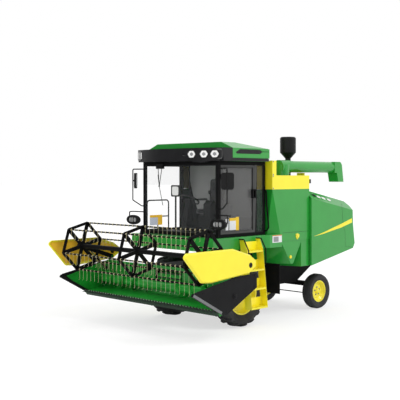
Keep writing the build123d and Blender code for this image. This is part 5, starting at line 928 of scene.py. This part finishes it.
bat_places = []
for step in range(BATS):
    turn = radians(REEL_PHASE + step * 360 / BATS)
    bat_places.append((REEL[0] - REEL_R * cos(turn), REEL[1] + REEL_R * sin(turn)))
reel_bars = [shaft(*REEL, REEL_HALF, 0.045, 28), shaft(*REEL, STUB_HALF, 0.025, 20)]
for number, place in enumerate(bat_places):
    reel_bars.append(shaft(*place, REEL_HALF, 0.014, 14))
    for x in (-SPIDER_X, 0, SPIDER_X):
        reel_bars.append(bar(REEL, place, x, SPOKE_W))
        reel_bars.append(bar(bat_places[number - 1], place, x, SPIDER_RIM_W))
reel_frame = piece("reel_frame", reel_bars, black_enamel, "reel", bevel=0.0015)
row_start = -TINE_PITCH * (TINES - 1) / 2
grown("reel_tines", [(row_start, *place) for place in bat_places], tine_tree(),
      {"Count": TINES, "Pitch": TINE_PITCH, "Wire": 0.0019}, tine_polymer, "reel")
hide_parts("reel")


# ---- driver's seat: stuffed cushions on a bellows base
SEAM_DEPTH = 0.005
SEAM_SPREAD = 0.007
CLOTH_FRAMES = 20
BASE_Z = 1.815
FOLDS = 6
FOLD_PITCH = 0.054
FOLD_HALF = 0.150
FOLD_DRAW = 0.014


def crowned(size):
    """A block of a size whose upper face is crowned and whose sides draw in."""
    work = bmesh.new()
    bmesh.ops.create_cube(work, size=2.0)
    bmesh.ops.subdivide_edges(work, edges=work.edges, cuts=9, use_grid_fill=True)
    for vert in work.verts:
        u, v, t = vert.co / sum(abs(c) ** 7 for c in vert.co) ** (1 / 7)
        crown = 0.80 + 0.20 * (1 - u * u) * (1 - v * v) if t > 0 else 1.0
        vert.co = (u * (1 - 0.035 * (1 - v * v)) * size[0] / 2, v * (1 - 0.035 * (1 - u * u)) * size[1] / 2,
                   t * crown * size[2] / 2)
    return work


def sew(work, lines):
    """Sinks stitched channels into a cushion's upper face along lines of constant local x."""
    work.normal_update()
    for vert in work.verts:
        if vert.normal.z > 0.2:
            for line in lines:
                vert.co.z -= SEAM_DEPTH * exp(-((vert.co.x - line) / SEAM_SPREAD) ** 2)


def cushion(name, size, place, lean, lines, voxel=0.010, swell=0.010):
    """A cushion from a crowned block, blown out as cloth by no more than swell, stitched and leaned."""
    mesh = bpy.data.meshes.new(name)
    work = crowned([extent - 2 * swell for extent in size])
    work.to_mesh(mesh)
    work.free()
    made = shown(name, mesh)
    remesh = made.modifiers.new("even", "REMESH")
    remesh.mode, remesh.voxel_size, remesh.use_smooth_shade = "VOXEL", voxel, True
    rest = baked(made)
    made.modifiers.clear()
    made.data = rest
    cloth = made.modifiers.new("stuffing", "CLOTH")
    cloth.settings.quality = 5
    cloth.settings.use_pressure = True
    cloth.settings.uniform_pressure_force = 4.0
    cloth.settings.effector_weights.gravity = 0.0
    for frame_number in range(1, CLOTH_FRAMES + 1):
        scene.frame_set(frame_number)
    blown = baked(made)
    for start, end in zip(rest.vertices, blown.vertices):
        move = end.co - start.co
        if move.length > swell:
            end.co = start.co + move.normalized() * swell
    made.modifiers.clear()
    made.data = blown
    scene.frame_set(1)
    soften = made.modifiers.new("soften", "SUBSURF")
    soften.levels = soften.render_levels = 1
    smooth = baked(made)
    made.modifiers.clear()
    work = bmesh.new()
    work.from_mesh(smooth)
    sew(work, lines)
    put = Matrix.Translation(place) @ Matrix.Rotation(radians(lean), 4, "X")
    bmesh.ops.transform(work, matrix=put, verts=work.verts)
    work.to_mesh(smooth)
    work.free()
    smooth.name = name
    smooth.materials.append(seat_cloth)
    smooth.shade_smooth()
    made.data = smooth
    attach(made, "chassis")


cushion("seat_cushion", (0.46, 0.46, 0.12), (0, 0.170 + AXLE_Y, 2.200), 0, (-0.13, 0.13))
cushion("seat_back", (0.43, 0.66, 0.095), (0, 0.385 + AXLE_Y, 2.550), 86.6, (-0.12, 0.12))
for side, label in zip(SIDES, ("right", "left")):
    place = (side * 0.2625, 0.220 + AXLE_Y, 2.435)
    cushion(f"seat_arm_{label}", (0.055, 0.32, 0.050), place, 0, (), 0.008, 0.004)
# foot plate, bellows of drawn-in folds, and the arms' posts
base = [slab((-0.16, -0.005 + AXLE_Y, 1.790), (0.16, 0.365 + AXLE_Y, BASE_Z))]
fold_back = 0.360 + AXLE_Y
for fold in range(FOLDS):
    low = BASE_Z + fold * FOLD_PITCH
    middle = low + 0.030
    base.append(slab((-FOLD_HALF, AXLE_Y, low), (FOLD_HALF, fold_back, middle)))
    base.append(slab((FOLD_DRAW - FOLD_HALF, FOLD_DRAW + AXLE_Y, middle),
                     (FOLD_HALF - FOLD_DRAW, fold_back - FOLD_DRAW, low + FOLD_PITCH)))
for side in SIDES:
    base.append(slab((side * 0.205, 0.312 + AXLE_Y, 2.30), (side * 0.255, 0.366 + AXLE_Y, 2.412)))
seat_frame = piece("seat_frame", base, black_abs, bevel=0.004)
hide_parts("operator_seat")


# ---- stage, light and camera
def stage_plane(name, size, centre, rotation, material):
    """A square sheet of the set, not part of the machine."""
    mesh = bpy.data.meshes.new(name)
    half = size / 2
    corners = [(x, y, 0) for x, y in rect((-half, -half), (half, half))]
    mesh.from_pydata(corners, [], [(0, 1, 2, 3)])
    mesh.materials.append(material)
    sheet = shown(name, mesh)
    sheet.location, sheet.rotation_euler = centre, rotation
    return sheet


def flag(name, size, centre, turn):
    """A black sheet seen by mirror reflections alone, so that faces turned to it keep their deep colour."""
    sheet = stage_plane(name, size, centre, (radians(90), 0, radians(turn)), flag_cloth)
    sheet.visible_camera = sheet.visible_diffuse = sheet.visible_shadow = sheet.visible_transmission = False


# white studio floor that keeps the machine's shadow and shows pure white elsewhere
studio_floor = bpy.data.materials.new("studio_floor")
tree = emptied(studio_floor)
seen = add(tree, "ShaderNodeLightPath").outputs["Is Camera Ray"]
# the camera sees a lighter shadow than the machine's underside is lit by
tone = add(tree, "ShaderNodeMapRange", {"Value": seen, "To Min": 0.86, "To Max": 0.46})
matt = add(tree, "ShaderNodeBsdfDiffuse", {"Color": tone})
lift = add(tree, "ShaderNodeMath", {0: seen, 1: 0.62}, operation="MULTIPLY")
glow = add(tree, "ShaderNodeEmission", {"Strength": lift})
both = add(tree, "ShaderNodeAddShader", {0: matt, 1: glow})
add(tree, "ShaderNodeOutputMaterial", {"Surface": both})

# black cloth of the reflection flags
flag_cloth = bpy.data.materials.new("black_flag_cloth")
tree = emptied(flag_cloth)
cloth = add(tree, "ShaderNodeEmission", {"Color": (0, 0, 0, 1), "Strength": 0.0})
add(tree, "ShaderNodeOutputMaterial", {"Surface": cloth})

stage_plane("floor", 400.0, (0, 0, 0), (0, 0, 0), studio_floor)
flag("front_flag", 14.0, (-7.0, -9.0, 6.0), -40)
flag("corner_flag", 3.4, (6.5, -0.95, 1.7), 80)

# the sky lights the machine less than it shows to the camera, through glass and in reflections
world = bpy.data.worlds.new("studio")
scene.world = world
sky = emptied(world)
path = add(sky, "ShaderNodeLightPath").outputs
direct = add(sky, "ShaderNodeMath", {0: path["Is Camera Ray"], 1: path["Is Transmission Ray"]},
             operation="MAXIMUM")
looked_at = add(sky, "ShaderNodeMath", {0: direct, 1: path["Is Glossy Ray"]}, operation="MAXIMUM")
strength = add(sky, "ShaderNodeMapRange", {"Value": looked_at, "To Min": 0.80, "To Max": 1.0})
dome = add(sky, "ShaderNodeBackground", {"Color": (1, 1, 1, 1), "Strength": strength})
add(sky, "ShaderNodeOutputWorld", {"Surface": dome})

# name, power, width of the light in degrees, the way it comes from
for name, energy, width, source in (("key_sun", 0.85, 20, (0.62, 0.25, 0.74)),
                                    ("front_fill", 0.80, 70, (-0.25, -0.90, 0.35))):
    sun = bpy.data.lights.new(name, "SUN")
    sun.energy, sun.angle = energy, radians(width)
    shown(name, sun).rotation_euler = Vector(source).to_track_quat("Z", "Y").to_euler()

# the camera stands level before the machine's left front corner
camera = bpy.data.cameras.new("camera")
camera.lens, camera.sensor_width, camera.shift_y, camera.clip_end = 71.4, 36.0, -0.058, 500
viewer = shown("camera", camera)
viewer.location = (11.235, -12.045, 2.901)
viewer.rotation_euler = (radians(90), 0, radians(44.6))
scene.camera = viewer
scene.view_settings.view_transform = "Standard"
